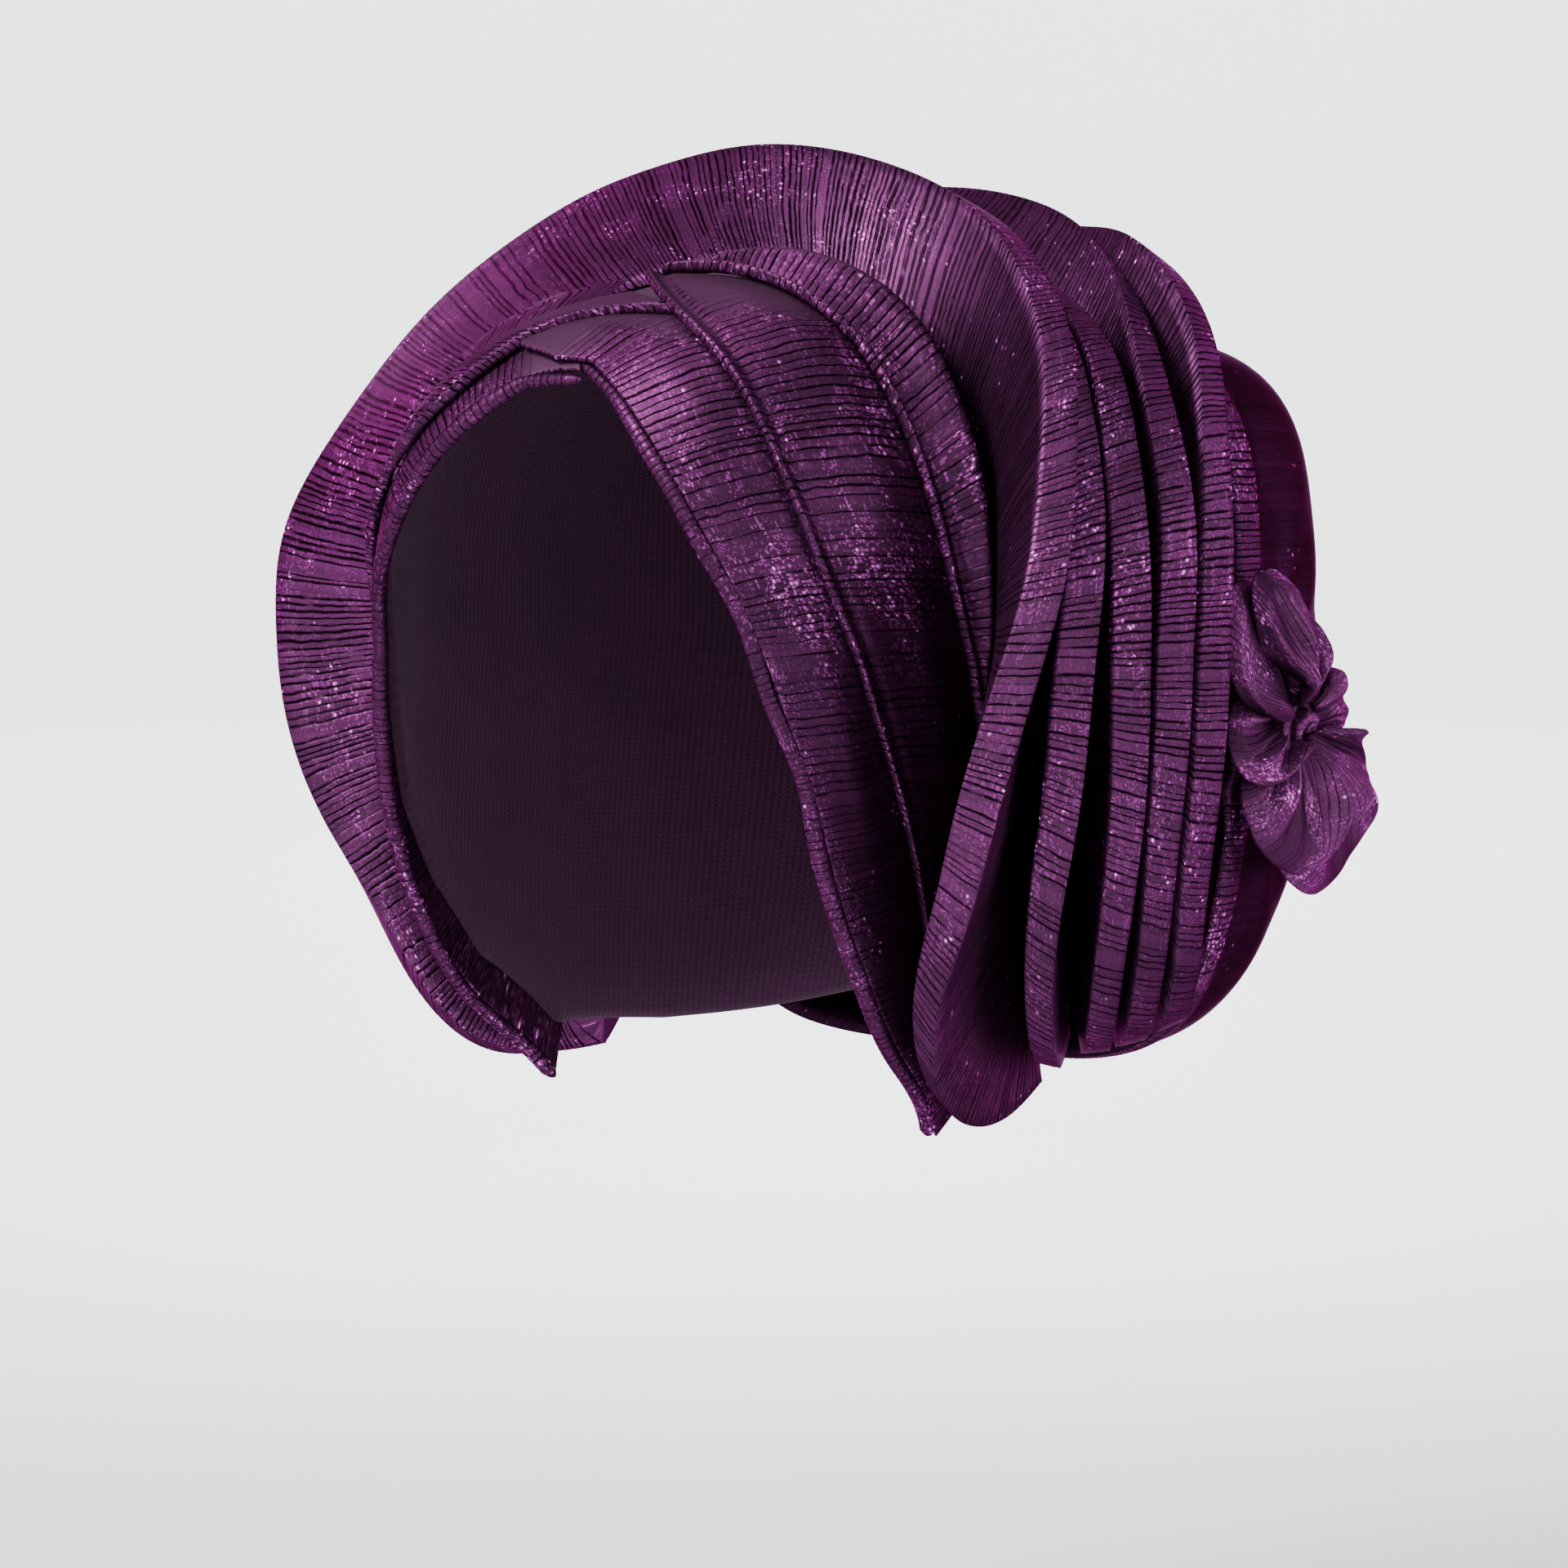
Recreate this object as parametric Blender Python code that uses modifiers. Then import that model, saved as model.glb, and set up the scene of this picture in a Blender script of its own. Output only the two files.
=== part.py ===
"""A turban cap: a soft cap for the head, pleated bands round the face, five padded leaves
that stand up over the head like a halo, a padded bowl behind them and a rosette at the back.

Sizes are in millimetres from the middle of the head, with +Z up, the face towards -Y and the
wearer's left at +X. The finished pieces are moved so that the origin is the seat on the crown.
"""

import math

import bpy
import numpy as np

# The head that the cap fits
HEAD_HALF_WIDTH = 75.0
HEAD_HALF_DEPTH = 92.0
CROWN_HEIGHT = 94.0
CHIN_DEPTH = 160.0
HEAD_MIDDLE_Y = -4.0
NECK_SHIFT = 0.15
HEAD_SQUARENESS = 2.5

# Walls and gaps
CAP_WALL = 2.0
BAND_WALL = 1.8
PETAL_WALL = 2.0
BOWL_WALL = 5.0
LEAF_THICKNESS = 9.0
GAP = 0.4
BAND_GAP = 1.2
LEAF_GAP = 0.7
SEAT = (0.0, HEAD_MIDDLE_Y, CROWN_HEIGHT - CAP_WALL)

# The rolled edge round the face
ROLL_RADIUS = 2.2
ROLL_ROOM = 5.0

# The edge of the cap, as the elevation that it reaches in each direction round the head
HEM = (
    # azimuth, elevation
    (-180, -47),
    (-130, -54),
    (-103, -56.5),
    (-81, -49),
    (-67, -38),
    (-57, -26),
    (-51, -14),
    (-45, -1),
    (-40, 10),
    (-31, 20.5),
    (-19, 34),
    (-9, 40.5),
    (2, 44),
    (9, 45.5),
    (14, 44.5),
    (20, 40.5),
    (30, 30),
    (36, 20),
    (42, 9),
    (46, -2),
    (53, -15),
    (59, -27),
    (67, -38),
    (81, -49),
    (103, -57),
    (130, -54),
    (180, -47),
)

# Each band runs between a front fold and a rear edge. Azimuths are positive on the wearer's left
BANDS = {
    "band_right_low": (
        # front azimuth, front elevation, rear azimuth, rear elevation, lift of the front fold
        (10, 40.6, 9, 42.8, 0.6),
        (1, 40, -2, 44.5, 0.6),
        (-5, 38, -8.5, 43.5, 0.6),
        (-16, 30, -20, 32.5, 0.6),
        (-27, 17, -34, 20, 0.6),
        (-36, 8, -44, 10.5, 0.6),
        (-41, -3, -50, -1, 0.6),
        (-47, -16, -57, -13, 0.6),
        (-53, -28, -64, -25, 0.6),
        (-62, -41, -73, -37, 0.6),
        (-76, -53, -83, -49, 0.6),
        (-101, -62, -105, -57, 0.6),
    ),
    "band_right_high": (
        (24.6, 51.7, 12.5, 56.6, 3.0),
        (14, 52, 4, 55.5, 3.0),
        (3, 51, -7, 52.2, 3.0),
        (-5, 47.8, -14.5, 47, 2.5),
        (-11, 42, -21, 41.5, 2.5),
        (-21, 33, -30.5, 33.5, 2.5),
        (-35, 20.5, -43, 21.5, 2.5),
        (-45, 11, -51.8, 11.5, 2.5),
        (-51, -0.5, -57.5, 0, 2.5),
        (-58, -12.5, -64.2, -12.5, 2.5),
        (-65, -24.5, -70.6, -25, 2.0),
        (-74, -36.5, -78.5, -38, 1.5),
        (-84, -48.5, -88, -51, 1.0),
    ),
    "band_left_1": (
        (-6, 45.4, -6.3, 46.0, 2.2),
        (1, 45.2, 1.5, 49.6, 2.2),
        (9, 42, 16, 50.6, 2.0),
        (17, 37, 36, 44, 1.5),
        (26, 27, 43, 33, 1.2),
        (32, 18, 48, 22, 1.2),
        (38, 8, 53, 11, 1.2),
        (42, -3, 59, -3, 1.2),
        (49, -16, 65, -15, 1.2),
        (54, -29, 70, -28, 1.2),
        (62, -41, 79, -40, 1.2),
        (76, -53, 89, -51, 1.0),
        (101, -62.5, 107, -58, 0.8),
    ),
    "band_left_2": (
        (15, 58.8, 20.5, 61, 4.4),
        (27, 50, 45, 60, 3.5),
        (36, 44, 62, 51, 3.0),
        (43, 33, 69, 37, 3.0),
        (48, 22, 74, 24, 3.0),
        (53, 11, 77, 11, 3.0),
        (59, -3, 81, -3, 3.0),
        (65, -15, 86, -15, 3.0),
        (72, -28, 90, -28, 2.5),
        (79, -40, 93, -40, 2.0),
        (89, -51, 97, -51, 1.5),
        (107, -57.5, 109, -56, 0.8),
    ),
    "band_left_3": (
        (16.5, 62, 18, 62.8, 3.2),
        (27, 63.4, 31, 66.3, 3.5),
        (45, 61, 60, 68.5, 3.5),
        (62, 52, 81, 57, 3.0),
        (69, 38, 84, 42, 3.0),
        (73.6, 24, 85, 27, 3.0),
        (76.5, 11.5, 85, 12, 3.0),
        (82, -3, 85, -3, 2.5),
        (85.5, -12, 87, -12, 2.0),
    ),
}
BAND_REAR_LIFT = 1.5
# How far the soft roll of the last band stands up along its length, row by row
FOLD_BULGE = {"band_left_3": (0, 1, 3.5, 5.5, 6.5, 6.5, 4, 1, 0)}

# The padded leaves from front to back, by half-rings from the crown to the foot
LEAVES = {
    "leaf_a": (
        # rim out, rim back, rim up, angle of the seat from the crown, seat back
        (0, 4, 121, 15, -21),
        (36, 4.5, 116, 24, -11),
        (69, 0, 104, 42, -8),
        (100, -18, 75, 62, -7),
        (118, -44, 30, 79, -5),
        (114, -53, 0, 90, -3),
        (105, -56, -30, 101, 0),
        (97, -52, -50, 109, 2),
        (87, -46, -67, 117, 4),
        (80, -40, -84, 125, 6),
        (75, -27, -101, 133, 8),
        (71, -4, -109, 138, 9),
        (67, 18, -108, 140, 10),
    ),
    "leaf_b": (
        (0, 30, 109, 0, 8),
        (33, 28, 105, 22, 8),
        (62, 17, 93, 42, 8),
        (90, 0, 70, 62, 8),
        (109, -20, 30, 79, 9),
        (107, -22, 0, 90, 11),
        (101, -18, -30, 101, 14),
        (93, -13, -60, 113, 17),
        (86, -5, -84, 124, 20),
        (80, 6, -97, 131, 21),
        (73, 18, -100, 135, 22),
        (67, 29, -97, 135, 23),
    ),
    "leaf_c": (
        (0, 50, 105, 0, 24),
        (30, 47, 101, 22, 24),
        (58, 37, 90, 42, 24),
        (89, 16, 68, 62, 23),
        (109, -3, 30, 79, 23),
        (106, 2, 0, 90, 25),
        (101, 9, -30, 101, 28),
        (94, 14, -62, 113, 31),
        (88, 18, -86, 124, 33),
        (81, 26, -97, 131, 34),
        (73, 35, -99, 134, 35),
    ),
    "leaf_d": (
        (0, 76, 111, 0, 43),
        (30, 73, 107, 22, 42),
        (57, 62, 96, 42, 39),
        (86, 38, 72, 62, 37),
        (107, 20, 30, 79, 37),
        (104, 22, 0, 90, 39),
        (100, 27, -30, 101, 42),
        (94, 32, -62, 113, 44),
        (88, 35, -86, 124, 45),
        (81, 42, -97, 131, 46),
        (73, 49, -99, 134, 47),
    ),
    "leaf_e": (
        (0, 90, 102, 0, 58),
        (29, 87, 101, 22, 56),
        (60, 73, 98, 42, 55),
        (89, 58, 76, 62, 52),
        (103, 42, 30, 79, 51),
        (101, 44, 0, 90, 53),
        (97, 48, -30, 101, 57),
        (91, 51, -62, 113, 58),
        (86, 54, -86, 124, 58),
        (79, 60, -97, 131, 57),
        (71, 66, -98, 134, 57),
    ),
}
SEAT_WIDTH = 9.5
# On the wearer's right the front leaf comes forward over the head to the upper band
FRONT_LEAF_RIGHT = (
    # angle of the seat from the crown, seat back, for each row of leaf_a
    (-15, -21),
    (-10, -39),
    (-1.5, -56.5),
    (25, -72),
    (70, -57),
    (87.5, -47),
    (105, -37.5),
    (114, -32.5),
    (126, -24),
    (135, -17),
    (140, -12.5),
    (144, -5.5),
    (146, 2),
)

# The padded bowl behind the leaves
BOWL_MIDDLE = (0.0, 76.0, -17.0)
BOWL_HALF_WIDTH = 88.0
BOWL_HALF_HEIGHT = 92.0
BOWL_DEPTH = 60.0
BOWL_SQUARENESS = 4.6
BOWL_TAPER = 0.10
BOWL_TUCK = 26.0

# The stuffed core between the back of the cap and the bowl
CORE_RADIUS = 20.0
CORE_MIDDLE_Z = 3.0

# The rosette on the left rear of the bowl
ROSETTE_MIDDLE = (88.5, 88.0, -20.0)
ROSETTE_TURN = 0.0
BUD = (
    # distance out from the bowl, radius
    (0.0, 8.0),
    (3.0, 11.0),
    (9.0, 11.0),
    (14.0, 9.0),
    (18.0, 5.0),
)
PETAL_TWIST = 5.5
PETAL_BASE_RADIUS = 11.6
PETALS = (
    # middle angle from the rear, angle covered, reach, height of the base, curl of the tip
    (18, 69, 25, 6, 3),
    (80, 69, 32, 6, 4),
    (136, 60, 40, 6, 3),
    (195, 66, 24, 6, 2),
    (250, 60, 38, 6, 3),
    (302, 69, 42, 6, 4),
)

CLOTH = {
    "plum_lame": (0.10, 0.012, 0.085),
    "plum_lame_folds": (0.07, 0.010, 0.060),
    "cap_cloth": (0.045, 0.010, 0.040),
}


def rows(table):
    return np.array(table, float)


def through(table, count):
    """Smooth values between the rows of a table: a Catmull-Rom curve, evenly in row number."""
    table = rows(table)
    ends = np.concatenate([2 * table[:1] - table[1:2], table, 2 * table[-1:] - table[-2:-1]])
    place = np.linspace(0, len(table) - 1, count)
    row = np.minimum(place.astype(int), len(table) - 2)
    part = (place - row)[:, None]
    a, b, c, d = (ends[row + step] for step in range(4))
    return b + 0.5 * part * (
        c - a + part * (2 * a - 5 * b + 4 * c - d + part * (3 * (b - c) + d - a))
    )


def direction(azimuth, elevation):
    azimuth, elevation = np.radians(azimuth), np.radians(elevation)
    level = np.cos(elevation)
    return np.stack(
        [np.sin(azimuth) * level, -np.cos(azimuth) * level, np.sin(elevation)], axis=-1
    )


def on_head(way, lift):
    """The point of the head in that direction, raised by the lift: a squarish ellipsoid
    |x/a|^p + |y/b|^p + |z/c|^p = 1 with c larger below, and the neck set forward."""
    lift = np.asarray(lift, float)
    height = np.where(way[..., 2] > 0, CROWN_HEIGHT, CHIN_DEPTH) + lift
    total = (
        np.abs(way[..., 0] / (HEAD_HALF_WIDTH + lift)) ** HEAD_SQUARENESS
        + np.abs(way[..., 1] / (HEAD_HALF_DEPTH + lift)) ** HEAD_SQUARENESS
        + np.abs(way[..., 2] / height) ** HEAD_SQUARENESS
    )
    point = way * total[..., None] ** (-1 / HEAD_SQUARENESS)
    point[..., 1] += HEAD_MIDDLE_Y + NECK_SHIFT * np.minimum(point[..., 2], 0)
    return point


def head_at(angle, back, lift):
    """The point of the head at this distance back, at this angle down from the crown."""
    angle, back = np.broadcast_arrays(np.radians(angle), back)
    side, up = np.sin(angle), np.cos(angle)
    height = np.where(up > 0, CROWN_HEIGHT, CHIN_DEPTH) + lift
    round_it = (
        np.abs(side / (HEAD_HALF_WIDTH + lift)) ** HEAD_SQUARENESS
        + np.abs(up / height) ** HEAD_SQUARENESS
    )
    reach = np.zeros_like(side)
    for _ in range(6):
        middle = HEAD_MIDDLE_Y + NECK_SHIFT * np.minimum(reach * up, 0)
        share = np.abs((back - middle) / (HEAD_HALF_DEPTH + lift)) ** HEAD_SQUARENESS
        reach = (np.maximum(1 - share, 0.02) / round_it) ** (1 / HEAD_SQUARENESS)
    return np.stack([reach * side, back, reach * up], axis=-1)


def unit(vectors):
    return vectors / np.linalg.norm(vectors, axis=-1, keepdims=True)


def mixed(first, last, share):
    return first + (last - first) * share


def cloth(name):
    material = bpy.data.materials.get(name)
    if material is None:
        material = bpy.data.materials.new(name)
        material.use_nodes = True
        surface = material.node_tree.nodes["Principled BSDF"]
        surface.inputs["Base Color"].default_value = (*CLOTH[name], 1.0)
        surface.inputs["Roughness"].default_value = 0.45
        surface.inputs["Metallic"].default_value = 0.3
    return material


def add_mesh(name, points, faces, slot):
    """A mesh object from points in the head's frame."""
    placed = (np.asarray(points).reshape(-1, 3) - SEAT) * 0.001
    mesh = bpy.data.meshes.new(name)
    mesh.from_pydata(placed.tolist(), [], faces)
    mesh.validate()
    mesh.materials.append(cloth(slot))
    body = bpy.data.objects.new(name, mesh)
    bpy.context.scene.collection.objects.link(body)
    return body


def grid_faces(down, across, closed):
    """Quads of a grid of points, joined round at the ends of its rows where it is closed."""
    faces = []
    for i in range(down - 1):
        for j in range(across if closed else across - 1):
            k = (j + 1) % across
            faces.append((i * across + j, i * across + k, (i + 1) * across + k, (i + 1) * across + j))
    return faces


def add_shell(name, grid, wall, slot, closed=False, outwards=1.0):
    """An open sheet of points with a wall thickness on one side."""
    body = add_mesh(name, grid, grid_faces(*grid.shape[:2], closed), slot)
    shell = body.modifiers.new("wall", "SOLIDIFY")
    shell.thickness = wall * 0.001
    shell.offset = outwards
    return body


def add_loft(name, rings, slot):
    """A closed solid through rings of points, with a flat end on the first and the last."""
    down, across = rings.shape[:2]
    faces = grid_faces(down, across, True)
    faces.append(tuple(reversed(range(across))))
    faces.append(tuple(range((down - 1) * across, down * across)))
    middle = down // 2
    along = rings[middle + 1].mean(axis=0) - rings[middle].mean(axis=0)
    ring = rings[middle] - rings[middle].mean(axis=0)
    turning = np.cross(ring, np.roll(ring, -1, axis=0)).sum(axis=0)
    if turning @ along < 0:
        faces = [face[::-1] for face in faces]
    return add_mesh(name, rings, faces, slot)


def add_tube(name, points, radius, slot):
    curve = bpy.data.curves.new(name, "CURVE")
    curve.dimensions = "3D"
    curve.bevel_depth = radius * 0.001
    curve.bevel_resolution = 2
    curve.use_fill_caps = True
    spline = curve.splines.new("POLY")
    spline.points.add(len(points) - 1)
    placed = (points - SEAT) * 0.001
    spline.points.foreach_set("co", np.column_stack([placed, np.ones(len(points))]).ravel())
    curve.materials.append(cloth(slot))
    body = bpy.data.objects.new(name, curve)
    bpy.context.scene.collection.objects.link(body)
    return body


def add_cap():
    """The soft cap under everything: head surface from the crown down to the hem."""
    azimuth = np.linspace(-180, 180, 52, endpoint=False)
    table = rows(HEM)
    lowest = np.interp(azimuth, table[:, 0], table[:, 1])
    share = np.linspace(0, 1, 10)[:, None]
    way = direction(azimuth[None, :], 88 + (lowest[None, :] - 88) * share)
    grid = on_head(way, 0.0)
    crown = on_head(direction(0.0, 90.0)[None, :], 0.0)
    points = np.concatenate([grid.reshape(-1, 3), crown])
    down, across = grid.shape[:2]
    faces = grid_faces(down, across, True)
    top = down * across
    faces += [(top, (j + 1) % across, j) for j in range(across)]
    body = add_mesh("cap", points, faces, "cap_cloth")
    shell = body.modifiers.new("wall", "SOLIDIFY")
    shell.thickness = CAP_WALL * 0.001
    shell.offset = 1.0


def band_points(name, across, runs):
    """Points of a band at given shares across it, in rows along it."""
    table = through(BANDS[name], runs)
    front = direction(table[:, 0], table[:, 1])
    rear = direction(table[:, 2], table[:, 3])
    way = unit(mixed(front[:, None, :], rear[:, None, :], across[..., None]))
    return way, table


def add_band(name, rolled, runs=25, columns=6):
    """A band of cloth: high at its front fold, low at its rear edge."""
    table = through(BANDS[name], runs)
    front = on_head(direction(table[:, 0], table[:, 1]), 0.0)
    rear = on_head(direction(table[:, 2], table[:, 3]), 0.0)
    width = np.maximum(np.linalg.norm(rear - front, axis=1), 1.0)
    start = np.minimum((ROLL_ROOM if rolled else BAND_GAP / 2) / width, 0.72)
    stop = np.maximum(1 - BAND_GAP / width, 0.85)
    share = np.linspace(0, 1, columns)[None, :]
    across = start[:, None] + (stop - start)[:, None] * share
    way, table = band_points(name, across, runs)
    rear_lift = np.minimum(table[:, 4:5], BAND_REAR_LIFT)
    lift = mixed(table[:, 4:5], rear_lift, share)
    bulge = FOLD_BULGE.get(name, (0, 0))
    rise = np.interp(np.linspace(0, 1, runs), np.linspace(0, 1, len(bulge)), bulge)
    lift = lift + rise[:, None] * np.sin(np.pi * share) ** 2
    grid = on_head(way, lift)
    left = table[:, 0].mean() > 0
    add_shell(name, grid[:, ::-1] if left else grid, BAND_WALL, "plum_lame", outwards=1.0)


def add_roll(name, band, skipped):
    """The rolled edge in front of a band, next to the face."""
    table = through(BANDS[band], 34)[skipped:]
    front = on_head(direction(table[:, 0], table[:, 1]), 0.0)
    rear = on_head(direction(table[:, 2], table[:, 3]), 0.0)
    width = np.maximum(np.linalg.norm(rear - front, axis=1), 1.0)
    share = np.minimum((ROLL_ROOM / 2 - GAP) / width, 0.2)
    way = unit(
        mixed(
            direction(table[:, 0], table[:, 1]),
            direction(table[:, 2], table[:, 3]),
            share[:, None],
        )
    )
    add_tube(name, on_head(way, 0.6), ROLL_RADIUS, "plum_lame_folds")


def leaf_section(table, thickness, seat_width):
    """Four lines along a leaf: front seat, front rim, back rim and back seat."""
    rim = table[:, :3]
    seat = head_at(table[:, 3], table[:, 4], LEAF_GAP)
    outward = unit(rim - seat)
    back = np.array([0.0, 1.0, 0.0])
    away = unit(back - outward * (outward @ back)[:, None])
    seat_back = head_at(table[:, 3], table[:, 4] + seat_width, LEAF_GAP)
    return seat, rim, rim + away * thickness, seat_back


def add_leaf(name, table, right_seat, thickness, seat_width, half=24):
    """A padded leaf: its flat-edged section carried from one foot over the crown to the other."""
    table = rows(table)
    right = table if right_seat is None else np.column_stack([table[:, :3], rows(right_seat)])
    mirror = right[:0:-1] * np.array([-1.0, 1.0, 1.0, -1.0, 1.0])
    whole = through(np.concatenate([mirror, table]), 2 * half - 1)
    front_seat, front_rim, back_rim, back_seat = leaf_section(whole, thickness, seat_width)
    rings = np.stack(
        [
            front_seat,
            mixed(front_seat, front_rim, 0.5),
            front_rim,
            back_rim,
            mixed(back_seat, back_rim, 0.5),
            back_seat,
        ],
        axis=1,
    )
    add_loft(name, rings, "plum_lame")


def add_bowl():
    """The bowl behind the leaves: a squarish dome, narrower below and tucked in there."""
    turn = np.linspace(0, 2 * np.pi, 36, endpoint=False)
    squared = 2 / BOWL_SQUARENESS
    across = np.sign(np.cos(turn)) * np.abs(np.cos(turn)) ** squared
    up = np.sign(np.sin(turn)) * np.abs(np.sin(turn)) ** squared
    rings = []
    for angle in np.linspace(0, 0.97 * np.pi / 2, 9):
        keep = math.cos(angle) ** squared
        tuck = BOWL_TUCK * np.maximum(-up * keep, 0) ** 1.5
        back = BOWL_MIDDLE[1] + (BOWL_DEPTH - tuck) * math.sin(angle) ** squared
        width = BOWL_HALF_WIDTH * keep * (1 + BOWL_TAPER * np.minimum(up * keep, 0))
        z = BOWL_MIDDLE[2] + BOWL_HALF_HEIGHT * keep * up
        rings.append(np.stack([width * across, back, z], axis=1))
    grid = np.array(rings)
    apex = (BOWL_MIDDLE[0], BOWL_MIDDLE[1] + BOWL_DEPTH, BOWL_MIDDLE[2])
    faces = grid_faces(*grid.shape[:2], True)
    last = (len(grid) - 1) * len(turn)
    faces += [(last + j, last + (j + 1) % len(turn), grid.size // 3) for j in range(len(turn))]
    body = add_mesh("bowl", np.concatenate([grid.reshape(-1, 3), [apex]]), faces, "plum_lame")
    shell = body.modifiers.new("wall", "SOLIDIFY")
    shell.thickness = BOWL_WALL * 0.001
    shell.offset = 1.0
    shell.use_even_offset = True


def add_core():
    """The stuffed core that carries the bowl on the back of the cap."""
    turn = np.linspace(0, 2 * np.pi, 24, endpoint=False)
    x = CORE_RADIUS * np.cos(turn)
    z = CORE_MIDDLE_Z + CORE_RADIUS * np.sin(turn)
    rear = BOWL_MIDDLE[1] + BOWL_DEPTH - BOWL_WALL - GAP
    front = HEAD_HALF_DEPTH + HEAD_MIDDLE_Y + GAP
    rings = [
        np.stack([x * size, np.full_like(x, back), CORE_MIDDLE_Z + (z - CORE_MIDDLE_Z) * size], axis=1)
        for back, size in ((front, 0.8), (front + 3, 1.0), (rear - 3, 1.0), (rear, 0.8))
    ]
    add_loft("bowl_core", np.array(rings), "cap_cloth")


def rosette_point(rear, up, out):
    """A point by its place in the rosette: towards the rear, up and out from the bowl."""
    turn = math.radians(ROSETTE_TURN)
    x, y, z = ROSETTE_MIDDLE
    return np.stack(
        [
            x - rear * math.sin(turn) + out * math.cos(turn),
            y + rear * math.cos(turn) + out * math.sin(turn),
            z + up,
        ],
        axis=-1,
    )


def add_rosette():
    """A bud with petals round it, each lying over the next like the sails of a pinwheel."""
    turn = np.linspace(0, 2 * np.pi, 20, endpoint=False)
    rings = [
        rosette_point(radius * np.cos(turn), radius * np.sin(turn), np.full_like(turn, out))
        for out, radius in BUD
    ]
    add_loft("rosette_bud", np.array(rings), "plum_lame_folds")
    for number, (middle, covered, reach, base, curl) in enumerate(PETALS, 1):
        share = np.linspace(0, 1, 7)[None, :]
        along = np.linspace(0, 1, 5)[:, None]
        angle = np.radians(middle + covered * (share - 0.5))
        edge = reach * (1 - 0.18 * (2 * share - 1) ** 2)
        radius = PETAL_BASE_RADIUS + (edge - PETAL_BASE_RADIUS) * along
        out = base + PETAL_TWIST * share + curl * along**2
        grid = rosette_point(radius * np.cos(angle), radius * np.sin(angle), out)
        add_shell(f"petal_{number}", grid, PETAL_WALL, "plum_lame_folds", outwards=1.0)


for startup in list(bpy.data.objects):
    bpy.data.objects.remove(startup)

add_cap()
add_band("band_right_low", rolled=True, columns=3)
add_band("band_right_high", rolled=False, columns=10)
add_band("band_left_1", rolled=True)
add_band("band_left_2", rolled=False)
add_band("band_left_3", rolled=False)
add_roll("face_roll_right", "band_right_low", 1)
add_roll("face_roll_left", "band_left_1", 7)
for leaf_name, leaf_rows in LEAVES.items():
    right_rows = FRONT_LEAF_RIGHT if leaf_name == "leaf_a" else None
    add_leaf(leaf_name, leaf_rows, right_rows, LEAF_THICKNESS, SEAT_WIDTH)
add_bowl()
add_core()
add_rosette()
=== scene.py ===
"""A ready-tied turban cap in plum metallic cloth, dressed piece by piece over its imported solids.

Shapes are worked out in millimetres from the middle of the head, with +Z up, the face towards -Y
and the wearer's left at +X. They are moved to the frame's origin, the seat on the crown, and
turned into metres when a piece is made.
"""

import bpy
import numpy as np
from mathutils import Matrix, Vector


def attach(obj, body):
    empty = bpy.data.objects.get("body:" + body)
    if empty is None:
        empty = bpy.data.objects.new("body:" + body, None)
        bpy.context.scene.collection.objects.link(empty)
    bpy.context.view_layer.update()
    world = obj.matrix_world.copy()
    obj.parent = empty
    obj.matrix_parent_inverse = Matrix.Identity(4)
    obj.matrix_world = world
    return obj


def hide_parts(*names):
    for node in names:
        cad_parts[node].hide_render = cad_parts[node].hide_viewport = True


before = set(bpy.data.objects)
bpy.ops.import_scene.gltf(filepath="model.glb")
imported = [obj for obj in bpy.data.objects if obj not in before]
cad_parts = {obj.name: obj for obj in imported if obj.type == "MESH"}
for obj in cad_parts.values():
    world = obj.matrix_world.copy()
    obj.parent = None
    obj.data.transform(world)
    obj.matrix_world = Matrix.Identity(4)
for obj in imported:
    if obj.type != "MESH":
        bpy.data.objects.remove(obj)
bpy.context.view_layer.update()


# The inner cap
# A close skull cap of dark stretch cloth that all the folds are sewn to. It is open below and
# at the face, and its edge is turned in and stitched with a row of small stitches.
HEAD_HALF_WIDTH = 75.0
HEAD_HALF_DEPTH = 92.0
CROWN_HEIGHT = 94.0
CHIN_DEPTH = 160.0
HEAD_MIDDLE_Y = -4.0
NECK_SHIFT = 0.15
HEAD_SQUARENESS = 2.5
CAP_WALL = 2.0
SEAT = (0.0, HEAD_MIDDLE_Y, CROWN_HEIGHT - CAP_WALL)
HEM = (
    # azimuth, elevation of the edge
    (-180, -47), (-130, -54), (-103, -56.5), (-81, -49), (-67, -38), (-57, -26),
    (-51, -14), (-45, -1), (-40, 10), (-31, 20.5), (-19, 34), (-9, 40.5),
    (2, 44), (9, 45.5), (14, 44.5), (20, 40.5), (30, 30), (36, 20),
    (42, 9), (46, -2), (53, -15), (59, -27), (67, -38), (81, -49),
    (103, -57), (130, -54), (180, -47),
)
CAP_COLOUR = (0.030, 0.006, 0.025)
EDGE_FROM = 0.965
EDGE_SWELL = 0.25
EDGE_INNER_SWELL = 0.35
EDGE_STITCHES = 130
WHOLE_TURN = 6.2832


def mixed(first, last, share):
    return first + (last - first) * share


def grown(value, start, reach):
    """From 0 at the start to 1 once the value is that much past it."""
    return np.clip((value - start) / reach, 0, 1)


def round_turn(places):
    """Angles evenly round a circle, one row of them."""
    return np.linspace(0, 2 * np.pi, places, endpoint=False)[None, :]


def unit(vectors):
    return vectors / np.maximum(np.linalg.norm(vectors, axis=-1, keepdims=True), 1e-9)


def direction(azimuth, elevation):
    """Azimuth 0 looks along -Y and grows towards the wearer's left; elevation is above level."""
    azimuth, elevation = np.radians(azimuth), np.radians(elevation)
    level = np.cos(elevation)
    return np.stack(
        [np.sin(azimuth) * level, -np.cos(azimuth) * level, np.sin(elevation)], axis=-1
    )


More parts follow.
